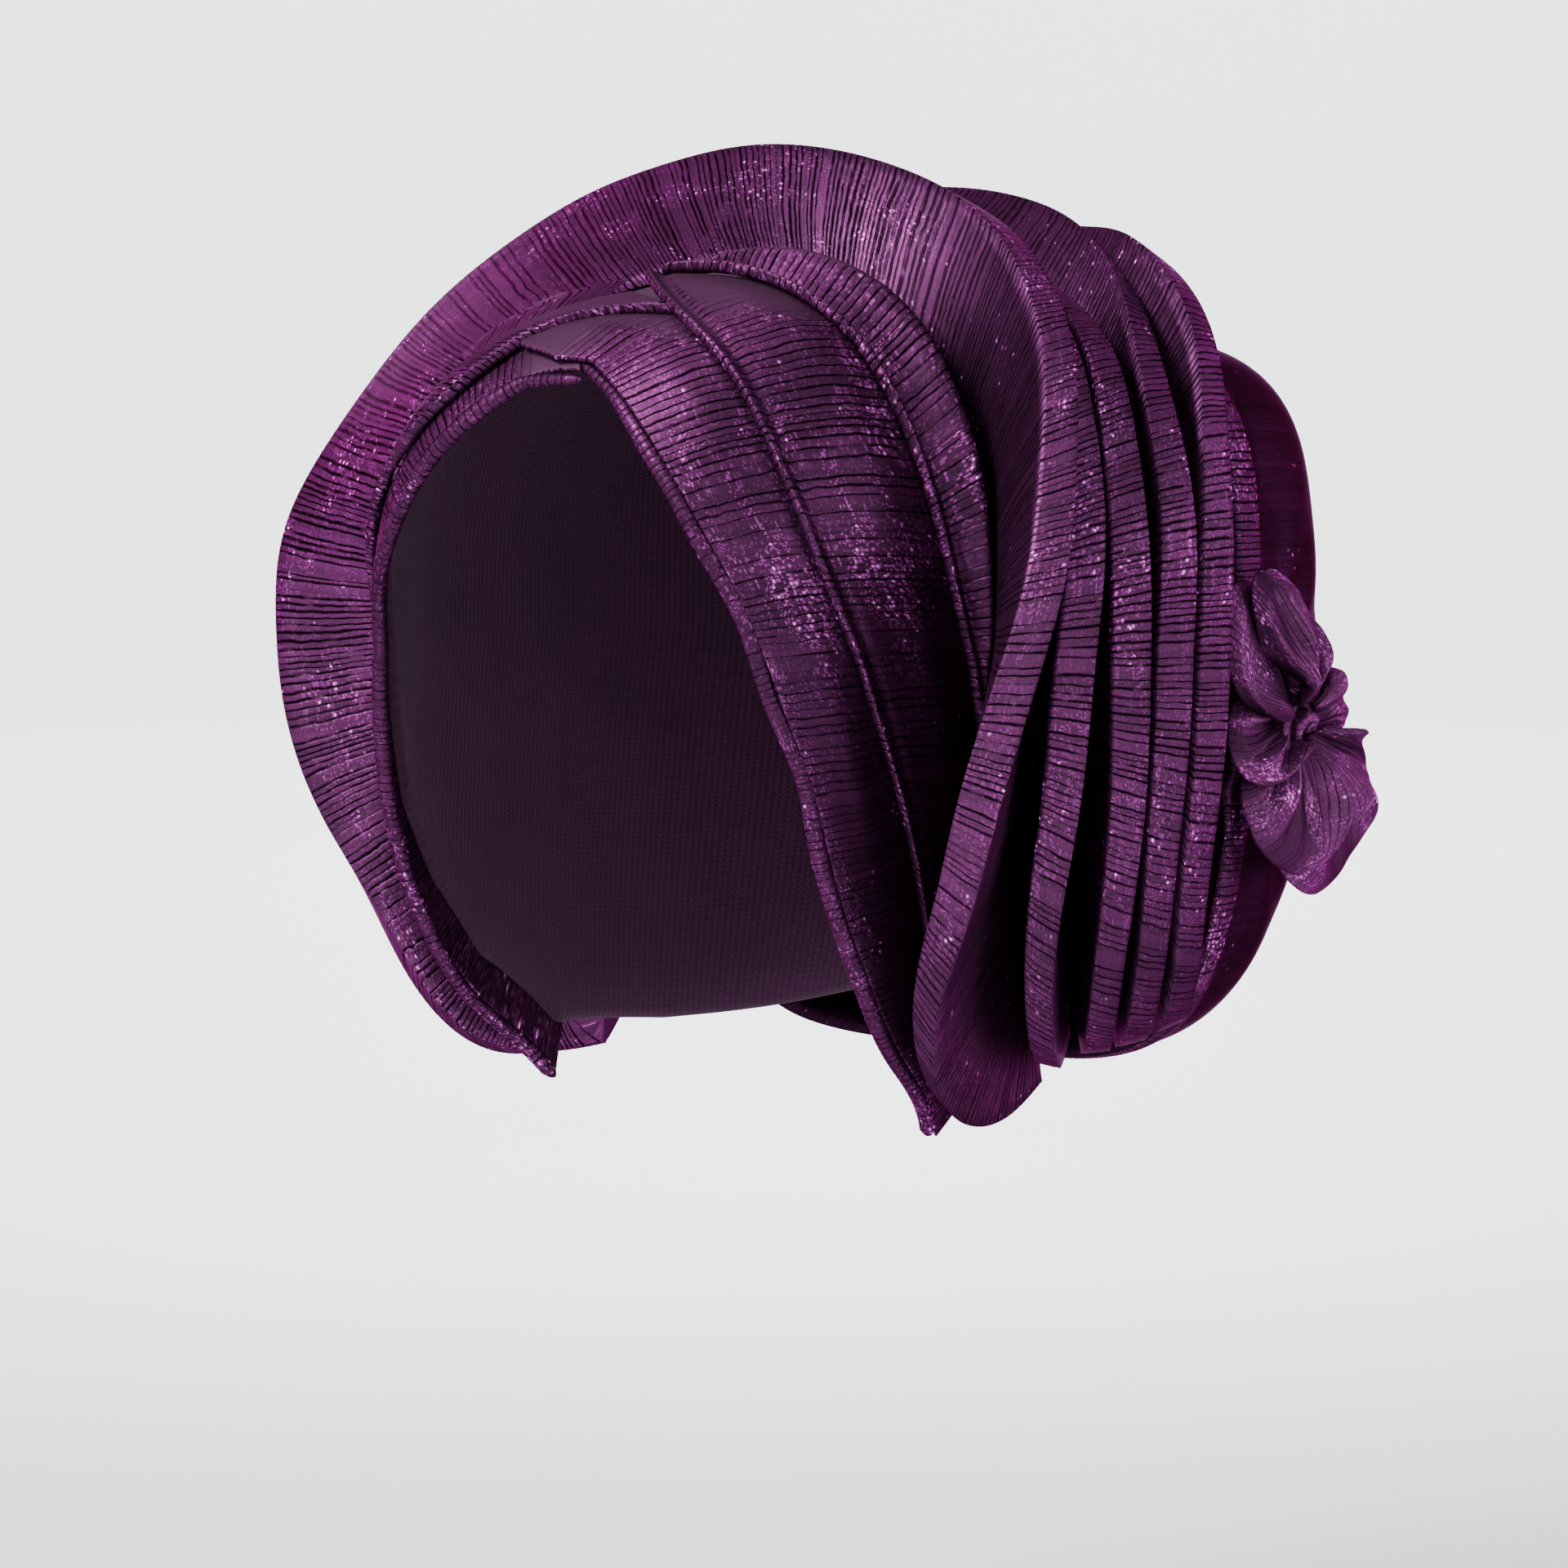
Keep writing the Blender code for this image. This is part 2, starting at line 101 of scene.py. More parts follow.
def on_head(way, lift):
    """The point of the head in that direction, raised by the lift: a squarish ellipsoid
    |x/a|^p + |y/b|^p + |z/c|^p = 1 with c larger below, and the neck set forward."""
    lift = np.asarray(lift, float)
    height = np.where(way[..., 2] > 0, CROWN_HEIGHT, CHIN_DEPTH) + lift
    total = (
        np.abs(way[..., 0] / (HEAD_HALF_WIDTH + lift)) ** HEAD_SQUARENESS
        + np.abs(way[..., 1] / (HEAD_HALF_DEPTH + lift)) ** HEAD_SQUARENESS
        + np.abs(way[..., 2] / height) ** HEAD_SQUARENESS
    )
    point = way * total[..., None] ** (-1 / HEAD_SQUARENESS)
    point[..., 1] += HEAD_MIDDLE_Y + NECK_SHIFT * np.minimum(point[..., 2], 0)
    return point


def lengths(points):
    """The distance run along a line of points, or along each column of a grid of them."""
    steps = np.linalg.norm(np.diff(points, axis=0), axis=-1)
    return np.concatenate([np.zeros_like(steps[:1]), np.cumsum(steps, axis=0)])


def ring_quads(down, round_it):
    """The corner numbers of the four-sided faces between each ring of points and the next."""
    row = np.arange(down - 1)[:, None] * round_it
    place = np.arange(round_it)[None, :]
    after = (place + 1) % round_it
    return np.stack([row + place, row + after, row + round_it + after, row + round_it + place], -1)


def skin(name, rings, along, across, material, material_slot, **looks):
    """A closed skin through rings of points, [ring, place in the ring]: four-sided faces join each
    ring to the next, a fan closes each end ring to its middle, and along and across, one value a
    ring and one a place (or a grid of both), become the cloth's UV map, in ribs and millimetres.
    Each look, one value from 0 to 1 a point, becomes an attribute that the material reads."""
    down, round_it = rings.shape[:2]
    ends = rings[[0, -1]].mean(axis=1)
    points = (np.concatenate([rings.reshape(-1, 3), ends]) - SEAT) * 0.001
    quads = ring_quads(down, round_it)
    count = down * round_it
    place = np.arange(round_it)
    after = (place + 1) % round_it
    first = np.stack([np.full_like(place, count), after, place], -1)
    start = count - round_it
    last = np.stack([np.full_like(place, count + 1), place + start, after + start], -1)
    corners = points[quads.reshape(-1, 4)]
    middle = points.mean(axis=0)
    a, b, c, d = (corners[:, k] - middle for k in range(4))
    volume = (a * np.cross(b, c)).sum() + (a * np.cross(c, d)).sum()
    u = np.broadcast_to(np.asarray(along, float), (down, round_it + 1))
    v = np.broadcast_to(np.asarray(across, float), (down, round_it + 1))
    uv = np.stack([u, v], -1)
    quad_uv = np.stack([uv[:-1, :-1], uv[:-1, 1:], uv[1:, 1:], uv[1:, :-1]], 2).reshape(-1, 4, 2)
    first_uv = np.stack([uv[0, :-1], uv[0, 1:], uv[0, :-1]], 1)
    last_uv = np.stack([uv[-1, :-1], uv[-1, :-1], uv[-1, 1:]], 1)
    if volume < 0:
        quads, quad_uv = quads[..., ::-1], quad_uv[:, ::-1]
        first, first_uv = first[:, ::-1], first_uv[:, ::-1]
        last, last_uv = last[:, ::-1], last_uv[:, ::-1]
    faces = quads.reshape(-1, 4).tolist() + first.tolist() + last.tolist()
    mesh = bpy.data.meshes.new(name)
    mesh.from_pydata(points.tolist(), [], faces)
    spread = np.concatenate([part.reshape(-1, 2) for part in (quad_uv, first_uv, last_uv)])
    mesh.uv_layers.new(name="cloth").data.foreach_set("uv", spread.ravel().astype(np.float32))
    for look, values in looks.items():
        skin_values = np.broadcast_to(values, (down, round_it)).ravel()
        values = np.append(skin_values, values.ravel()[[0, -1]]).astype(np.float32)
        mesh.attributes.new(look, "FLOAT", "POINT").data.foreach_set("value", values)
    mesh.shade_smooth()
    mesh.materials.append(material)
    piece = bpy.data.objects.new(name, mesh)
    bpy.context.scene.collection.objects.link(piece)
    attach(piece, "root")
    return piece


def put(tree, socket, value):
    """Link a value to a socket, or set a constant on it. A colour's constant has three parts."""
    if isinstance(value, Value):
        tree.links.new(value.socket, socket)
    elif socket.type == "RGBA":
        socket.default_value = (*value, 1.0)
    else:
        socket.default_value = value


class Value:
    """A socket that a material computes with. An expression on values adds its Math nodes."""

    def __init__(self, tree, socket):
        self.tree, self.socket = tree, socket

    def math(self, operation, *others):
        node = self.tree.nodes.new("ShaderNodeMath")
        node.operation = operation
        for place, value in enumerate((self, *others)):
            put(self.tree, node.inputs[place], value)
        return Value(self.tree, node.outputs[0])

    def __add__(self, other):
        return self.math("ADD", other)

    __radd__ = __add__

    def __mul__(self, other):
        return self.math("MULTIPLY", other)

    __rmul__ = __mul__

    def __sub__(self, other):
        return self.math("SUBTRACT", other)

    def __rsub__(self, other):
        return (self * -1.0).math("ADD", other)

    def ramp(self, low, high, start=0.0, end=1.0):
        """From start to end, smoothly, while this value goes from low to high."""
        node = self.tree.nodes.new("ShaderNodeMapRange")
        node.interpolation_type = "SMOOTHSTEP"
        keys = ("Value", "From Min", "From Max", "To Min", "To Max")
        for key, value in zip(keys, (self, low, high, start, end)):
            put(self.tree, node.inputs[key], value)
        return Value(self.tree, node.outputs["Result"])


class Finish:
    """A material being made: node() adds any node, and the rest are its most used kinds."""

    def __init__(self, name):
        self.material = bpy.data.materials.new(name)
        self.material.use_nodes = True
        self.tree = self.material.node_tree
        self.surface = self.tree.nodes["Principled BSDF"]

    def node(self, kind, settings=None, output=0, **inputs):
        """One node of this kind: its settings first, then a value or a link for each socket."""
        made = self.tree.nodes.new(kind)
        for key, value in (settings or {}).items():
            setattr(made, key, value)
        for key, value in inputs.items():
            put(self.tree, made.inputs[key], value)
        return Value(self.tree, made.outputs[output])

    def cloth_place(self):
        """Place on the cloth: the rib number along the piece and millimetres across it."""
        place = self.node("ShaderNodeUVMap", {"uv_map": "cloth"})
        split = self.tree.nodes.new("ShaderNodeSeparateXYZ")
        self.tree.links.new(place.socket, split.inputs[0])
        return Value(self.tree, split.outputs[0]), Value(self.tree, split.outputs[1])

    def at(self, x, y=0.0, z=0.0):
        return self.node("ShaderNodeCombineXYZ", X=x, Y=y, Z=z)

    def noise(self, place, detail=2.0, roughness=0.5):
        inputs = {"Vector": place, "Scale": 1.0, "Detail": detail, "Roughness": roughness}
        return self.node("ShaderNodeTexNoise", **inputs)

    def scaled(self, vector, scale):
        """A place or a colour times a number."""
        settings = {"operation": "SCALE"}
        return self.node("ShaderNodeVectorMath", settings, Vector=vector, Scale=scale)

    def attribute(self, name):
        return self.node("ShaderNodeAttribute", {"attribute_name": name}, output=2)

    def chance(self, place):
        """A number from 0 to 1 for each whole place."""
        floor = self.node("ShaderNodeVectorMath", {"operation": "FLOOR"}, Vector=place)
        return self.node("ShaderNodeTexWhiteNoise", {"noise_dimensions": "3D"}, Vector=floor)

    def blend(self, share, first, last):
        """A colour between two, by the share."""
        made = self.tree.nodes.new("ShaderNodeMix")
        made.data_type = "RGBA"
        for place, value in ((0, share), (6, first), (7, last)):
            put(self.tree, made.inputs[place], value)
        return Value(self.tree, made.outputs[2])

    def set(self, **sockets):
        for key, value in sockets.items():
            put(self.tree, self.surface.inputs[key.replace("_", " ")], value)

    def relief(self, height, depth):
        """A bump from a height of 0 to 1 over this depth in metres."""
        bump = self.node("ShaderNodeBump", Height=height, Distance=depth, Strength=1.0)
        self.set(Normal=bump)


def stretch_cloth():
    """Fine knit: rows of small loops, with painted shading that makes their tops a little lighter and
    the grooves between them darker, matte.
    """
    finish = Finish("cap_knit")
    stitch, course = finish.cloth_place()
    fuzz = finish.noise(finish.at(stitch * 0.9, course * 0.9), 4.0)
    sway = (stitch * WHOLE_TURN).math("SINE")
    wale = sway * 0.5 + 0.5
    row = (course * 7.0 + sway * 1.2).math("SINE") * 0.5 + 0.5
    knit = wale * 0.6 + row * 0.4
    worn = finish.noise(finish.scaled(finish.at(stitch, course), 0.05))
    dark = tuple(0.55 * part for part in CAP_COLOUR)
    light = tuple(1.7 * part for part in CAP_COLOUR)
    # The knit's own relief also sets its colour: a painted highlight on the loop tops and painted
    # shade between them.
    finish.set(Base_Color=finish.blend(knit * 0.5 + worn * 0.5, dark, light), Roughness=0.85)
    finish.set(Sheen_Weight=0.10, Sheen_Roughness=0.5, Sheen_Tint=(0.7, 0.4, 0.65))
    finish.set(Specular_IOR_Level=0.2)
    finish.relief(knit * 0.7 + fuzz * 0.3, 0.0003)
    return finish.material


def cap_rings(rings=64, places=260):
    """From the crown down to the hem outside, round the turned edge, and up again inside: the
    head's surface, lifted a little where the edge is turned in, less the wall on the way back."""
    table = np.array(HEM, float)
    azimuth = np.linspace(-180, 180, places, endpoint=False)[None, :]
    lowest = np.interp(azimuth, table[:, 0], table[:, 1])
    share = np.linspace(0.01, 1, rings)[:, None]
    elevation = 90 + (lowest - 90) * share
    turned = grown(share, EDGE_FROM, 0.01)
    puckers = 0.12 * np.sin(np.radians(azimuth) * EDGE_STITCHES) * turned
    inner = -CAP_WALL - EDGE_INNER_SWELL
    way = direction(azimuth, elevation)
    outside = on_head(way, EDGE_SWELL * turned + puckers)
    inside = on_head(way, -CAP_WALL - EDGE_INNER_SWELL * turned - puckers)
    edge = [
        on_head(direction(azimuth, lowest - 0.35 * np.sin(turn)), mixed(EDGE_SWELL, inner, place))
        for turn, place in ((1.0, 0.22), (1.57, 0.5), (1.0, 0.78))
    ]
    return np.concatenate([outside, *edge, inside[::-1]])


cap_cloth = stretch_cloth()
cap_grid = cap_rings()
inner_cap = skin(
    "inner_cap",
    cap_grid,
    np.linspace(0, 300, cap_grid.shape[1] + 1)[None, :],
    np.linspace(0, 400, len(cap_grid))[:, None],
    cap_cloth,
    "cap_cloth",
)
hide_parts("cap")


# The metallic cloth
# A thin plum cloth woven with flat metal threads and pressed into fine uneven pleats, about two
# millimetres apart. It looks dark where a pleat turns away and glints in small grains where not.
RIB_SPACING = 1.9
PLUM_DEEP = (0.021, 0.009, 0.020)
PLUM = (0.080, 0.016, 0.067)
PLUM_BRIGHT = (0.490, 0.085, 0.440)
# The next colour is a painted sheen: the lighter, greyer tone of smooth cloth that faces up to the
# light above.
PAINTED_SHEEN_COLOUR = (0.085, 0.034, 0.074)
GRAIN_PINK = (0.950, 0.440, 0.900)
EDGE_TINT = (0.42, 0.12, 0.36)


def rib_count(distance, shift=0.0):
    """The number of pleats up to this distance along the cloth: evenly one each spacing, with slow
    and quick waves added so that pleats come closer and wider in turn."""
    return (
        distance / RIB_SPACING
        + 0.55 * np.sin(distance / 11.3 + shift)
        + 0.28 * np.sin(distance / 3.7 + 2.1 * shift)
        + 0.12 * np.sin(distance / 1.9 + 3.7 * shift)
    )


def lame(name, brightness=1.0, spots=1.0, ribs=1.0):
    """Pleated metallic cloth. Thin dark lines where the pleats turn in, each of its own width and
    some missing; a tone of its own for each pleat; fine grains; round spots that glint in patches;
    a painted sheen, a lighter and greyer tone, where the cloth lies smooth; and painted shade, a
    darker tone with fainter lines and fewer glints. Spots says how much it glints and ribs how dark
    its lines are. The pieces' attributes say where it is smooth with a painted sheen, where it has
    painted shade, and where it has bold lines."""
    finish = Finish(name)
    rib, across = finish.cloth_place()
    # These attributes mark smooth cloth with its painted sheen, and painted shade.
    smooth_painted_sheen = finish.attribute("smooth_painted_sheen")
    dull = finish.attribute("dull")
    wide = finish.attribute("bold") + 1.0
    ribbed = 1.0 - smooth_painted_sheen
    glinting = ribbed * (1.0 - dull) * spots
    waver = finish.noise(finish.at(rib * 0.11, across * 0.05), 2.0)
    quiver = finish.noise(finish.at(rib * 0.9, across * 0.20), 2.0)
    bent = rib + (waver - 0.5) * 0.9 + (quiver - 0.5) * 0.45
    number = (bent + 0.5).math("FLOOR")
    fold = (bent - number).math("ABSOLUTE") * 2.0
    own = finish.chance(finish.at(number, 3.0, 1.0))
    other = finish.chance(finish.at(number, 7.0, 5.0))
    strip_tone = finish.chance(finish.at((bent + 0.02).math("FLOOR"), 11.0, 2.0))
    broken = finish.noise(finish.at(number * 1.7, across * 0.13), 2.0)
    line = fold.ramp((own * 0.26 + 0.14) * wide, wide * 0.05)
    line = line * other.ramp(0.04, 0.30) * broken.ramp(0.28, 0.50, 0.25, 1.0)
    line = line * ribbed * ribs * (1.0 - dull * 0.4)
    thread = finish.noise(finish.at(rib * 2.3, across * 2.1), 3.0, 0.6)
    patch = finish.noise(finish.at(rib * 0.075, across * 0.085, 4.0), 3.0)
    tone = finish.noise(finish.at(rib * 0.035, across * 0.045, 9.0), 2.0).ramp(0.3, 0.7)
    share = thread.ramp(0.30, 0.72) * 0.45 + strip_tone * 0.30 + tone * 0.25
    ground = finish.blend(share, PLUM_DEEP, PLUM)
    fine = finish.chance(finish.at(rib * 3.6 + own * 7.0, across * 2.1))
    grain = fine.ramp(0.70, 0.98) * patch.ramp(0.38, 0.62, 0.15, 1.0) * glinting
    place = finish.at(rib * 1.55, across * 0.85 + own * 0.6)
    cells = finish.tree.nodes.new("ShaderNodeTexVoronoi")
    for key, value in (("Vector", place), ("Scale", 1.0), ("Randomness", 0.75)):
        put(finish.tree, cells.inputs[key], value)
    apart = Value(finish.tree, cells.outputs["Distance"])
    split = finish.tree.nodes.new("ShaderNodeSeparateColor")
    finish.tree.links.new(cells.outputs["Color"], split.inputs[0])
    lot = Value(finish.tree, split.outputs[0])
    often = (patch.ramp(0.50, 0.64) * 0.62 + 0.010) * (other * 0.8 + 0.4) * glinting
    shown = (lot + often).ramp(0.99, 1.03)
    spot = apart.ramp(0.34, 0.12) * shown
    halo = apart.ramp(0.58, 0.26) * shown
    lit = finish.blend(grain * 0.55, ground, PLUM_BRIGHT)
    lit = finish.blend(halo * 0.75, lit, PLUM_BRIGHT)
    # Painted sheen: smooth cloth is painted a lighter, greyer tone.
    lit = finish.blend(smooth_painted_sheen * 0.85, lit, PAINTED_SHEEN_COLOUR)
    lit = finish.blend(spot, lit, GRAIN_PINK)
    # Darkens the base colour by the cloth's own dark lines and by painted shade.
    shade = (1.0 - line * 0.94) * (1.0 - dull * 0.5)
    finish.set(Base_Color=finish.scaled(lit, shade * brightness), Metallic=0.82)
    finish.set(Specular_IOR_Level=0.0, Specular_Tint=EDGE_TINT)
    finish.set(Roughness=thread * 0.14 + smooth_painted_sheen * 0.08 - spot * 0.15 + 0.36)
    finish.relief(line * -0.7 + spot * 0.35 + thread * 0.22 + 0.5, 0.0004)
    return finish.material


folds_cloth = lame("plum_lame")
leaf_cloth = lame("plum_lame_leaves", 1.60, 0.50)
# A copy of the cloth with fainter lines and fewer glints, darkened by painted shade, for the smooth
# dome of the bowl.
smooth_shaded_cloth = lame("plum_lame_smooth_shaded", 0.45, 0.10, 0.20)
roll_cloth = lame("plum_lame_rolled", 0.95, 0.8, 0.7)
petal_cloth = lame("plum_lame_petals", 2.0, 0.9, 0.45)


# The pleated bands round the face
# Strips of the cloth folded double and laid over each other like shingles: two on the wearer's
# right and three on the left, which cross over them above the forehead. Each has a rounded front
# fold that stands a little over the band in front of it, and its rear edge is tucked under.
BAND_WALL = 1.3
BAND_GAP = 1.2
BAND_REAR_LIFT = 1.5
BAND_OVERHANG = 1.6
ROLL_ROOM = 5.0
ROLL_COVERED = 1.4
BEAD_AT, BEAD_WIDTH = 1.3, 1.1
DIP_AT, DIP_WIDTH = 4.2, 1.3
PLEAT_HEIGHT = 0.14
BAND_POINTS = 28
REAR_POINTS = 3
UNDER_POINTS = 8
FRONT_POINTS = 3
ROW_STEP = 0.475
TABLE_SAMPLES = 600
ANY_PHASE = 6.28
BANDS = {
    "band_right_low": (
        # front azimuth, front elevation, rear azimuth, rear elevation, lift of the front fold
        (10, 40.6, 9, 42.8, 0.6), (1, 40, -2, 44.5, 0.6), (-5, 38, -8.5, 43.5, 0.6),
        (-16, 30, -20, 32.5, 0.6), (-27, 17, -34, 20, 0.6), (-36, 8, -44, 10.5, 0.6),
        (-41, -3, -50, -1, 0.6), (-47, -16, -57, -13, 0.6), (-53, -28, -64, -25, 0.6),
        (-62, -41, -73, -37, 0.6), (-76, -53, -83, -49, 0.6), (-101, -62, -105, -57, 0.6),
    ),
    "band_right_high": (
        (24.6, 51.7, 12.5, 56.6, 3.0), (14, 52, 4, 55.5, 3.0), (3, 51, -7, 52.2, 3.0),
        (-5, 47.8, -14.5, 47, 2.5), (-11, 42, -21, 41.5, 2.5), (-21, 33, -30.5, 33.5, 2.5),
        (-35, 20.5, -43, 21.5, 2.5), (-45, 11, -51.8, 11.5, 2.5), (-51, -0.5, -57.5, 0, 2.5),
        (-58, -12.5, -64.2, -12.5, 2.5), (-65, -24.5, -70.6, -25, 2.0), (-74, -36.5, -78.5, -38, 1.5),
        (-84, -48.5, -88, -51, 1.0),
    ),
    "band_left_1": (
        (-6, 45.4, -6.3, 46.0, 2.2), (1, 45.2, 1.5, 49.6, 2.2), (9, 42, 16, 50.6, 2.0),
        (17, 37, 36, 44, 1.5), (26, 27, 43, 33, 1.2), (32, 18, 48, 22, 1.2),
        (38, 8, 53, 11, 1.2), (42, -3, 59, -3, 1.2), (49, -16, 65, -15, 1.2),
        (54, -29, 70, -28, 1.2), (62, -41, 79, -40, 1.2), (76, -53, 89, -51, 1.0),
        (101, -62.5, 107, -58, 0.8),
    ),
    "band_left_2": (
        (15, 58.8, 20.5, 61, 4.4), (27, 50, 45, 60, 3.5), (36, 44, 62, 51, 3.0),
        (43, 33, 69, 37, 3.0), (48, 22, 74, 24, 3.0), (53, 11, 77, 11, 3.0),
        (59, -3, 81, -3, 3.0), (65, -15, 86, -15, 3.0), (72, -28, 90, -28, 2.5),
        (79, -40, 93, -40, 2.0), (89, -51, 97, -51, 1.5), (107, -57.5, 109, -56, 0.8),
    ),
    "band_left_3": (
        (16.5, 62, 18, 62.8, 3.2), (27, 63.4, 31, 66.3, 3.5), (45, 61, 60, 68.5, 3.5),
        (62, 52, 81, 57, 3.0), (69, 38, 84, 42, 3.0), (73.6, 24, 85, 27, 3.0),
        (76.5, 11.5, 85, 12, 3.0), (82, -3, 85, -3, 2.5), (85.5, -12, 87, -12, 2.0),
    ),
}
BAND_DRESS = {
    # height of the fold's bead, height of the soft roll, share across where it stands, its width,
    # how far the rear is tucked under the next band above the forehead and further down
    "band_right_low": (0.0, 0.3, 0.5, 0.30, 8.0, 3.0),
    "band_right_high": (1.3, 0.4, 0.55, 0.25, 3.0, 2.0),
    "band_left_1": (0.0, 0.8, 0.55, 0.25, 10.0, 2.0),
    "band_left_2": (1.4, 1.4, 0.60, 0.22, 5.0, 1.5),
    "band_left_3": (1.8, 9.5, 0.74, 0.28, 0.0, 0.0),
}


def along_table(table, places):
    """Smooth values at these row numbers of a table: a Catmull-Rom curve through its rows."""
    table = np.array(table, float)
    ends = np.concatenate([2 * table[:1] - table[1:2], table, 2 * table[-1:] - table[-2:-1]])
    row = np.minimum(places.astype(int), len(table) - 2)
    part = (places - row)[:, None]
    a, b, c, d = (ends[row + step] for step in range(4))
    return b + 0.5 * part * (
        c - a + part * (2 * a - 5 * b + 4 * c - d + part * (3 * (b - c) + d - a))
    )


def evenly(table, line_of, step):
    """A table's rows taken at even distances, this many millimetres apart, along the line that
    line_of makes of them, and the distances."""
    coarse = np.linspace(0, len(table) - 1, TABLE_SAMPLES)
    run = lengths(line_of(along_table(table, coarse)))
    distance = np.linspace(0, run[-1], int(run[-1] / step) + 1)
    return calmed(along_table(table, np.interp(distance, run, coarse)), step), distance


def calmed(values, step, reach=9.0):
    """Each column averaged along the piece with a bell this many millimetres wide, the line being
    carried on straight past its ends, so that no row of the table shows as a bend."""
    count = int(2.5 * reach / step)
    bell = np.exp(-0.5 * (np.arange(-count, count + 1) * step / reach) ** 2)
    before = 2 * values[:1] - values[count:0:-1]
    after = 2 * values[-1:] - values[-2 : -count - 2 : -1]
    longer = np.concatenate([before, values, after])
    return np.stack([np.convolve(column, bell / bell.sum(), "valid") for column in longer.T], -1)


def soft_waves(distance, seed, height):
    """Slow uneven waves along a piece, as cloth has that is laid by hand."""
    first, second, third = np.random.default_rng(seed).uniform(0, ANY_PHASE, 3)
    return height * (
        0.5 * np.sin(distance / 17.0 + first)
        + 0.3 * np.sin(distance / 8.3 + second)
        + 0.2 * np.sin(distance / 31.0 + third)
    )


def outward_normals(rings):
    """The direction square to the skin at each point, from its neighbours in both ways."""
    down = np.gradient(rings, axis=0)
    round_it = np.roll(rings, -1, axis=1) - np.roll(rings, 1, axis=1)
    normal = unit(np.cross(down, round_it))
    out = rings - rings.mean(axis=1, keepdims=True)
    return normal * np.sign((normal * out).sum(axis=-1).mean())


def pleated(rings, count, depth):
    """The skin with its pleats raised, square to it: flat strips between narrow creases."""
    wave = np.abs(np.sin(np.pi * count)) ** 0.4 - 0.8
    return rings + outward_normals(rings) * (wave * depth)[..., None]


def edge_ways(table):
    """The directions of a band's front and rear edges at these rows, and its width there."""
    front, rear = direction(table[:, 0], table[:, 1]), direction(table[:, 2], table[:, 3])
    width = np.linalg.norm(on_head(rear, 0.0) - on_head(front, 0.0), axis=1)
    return front, rear, np.maximum(width, 1.0)[:, None]


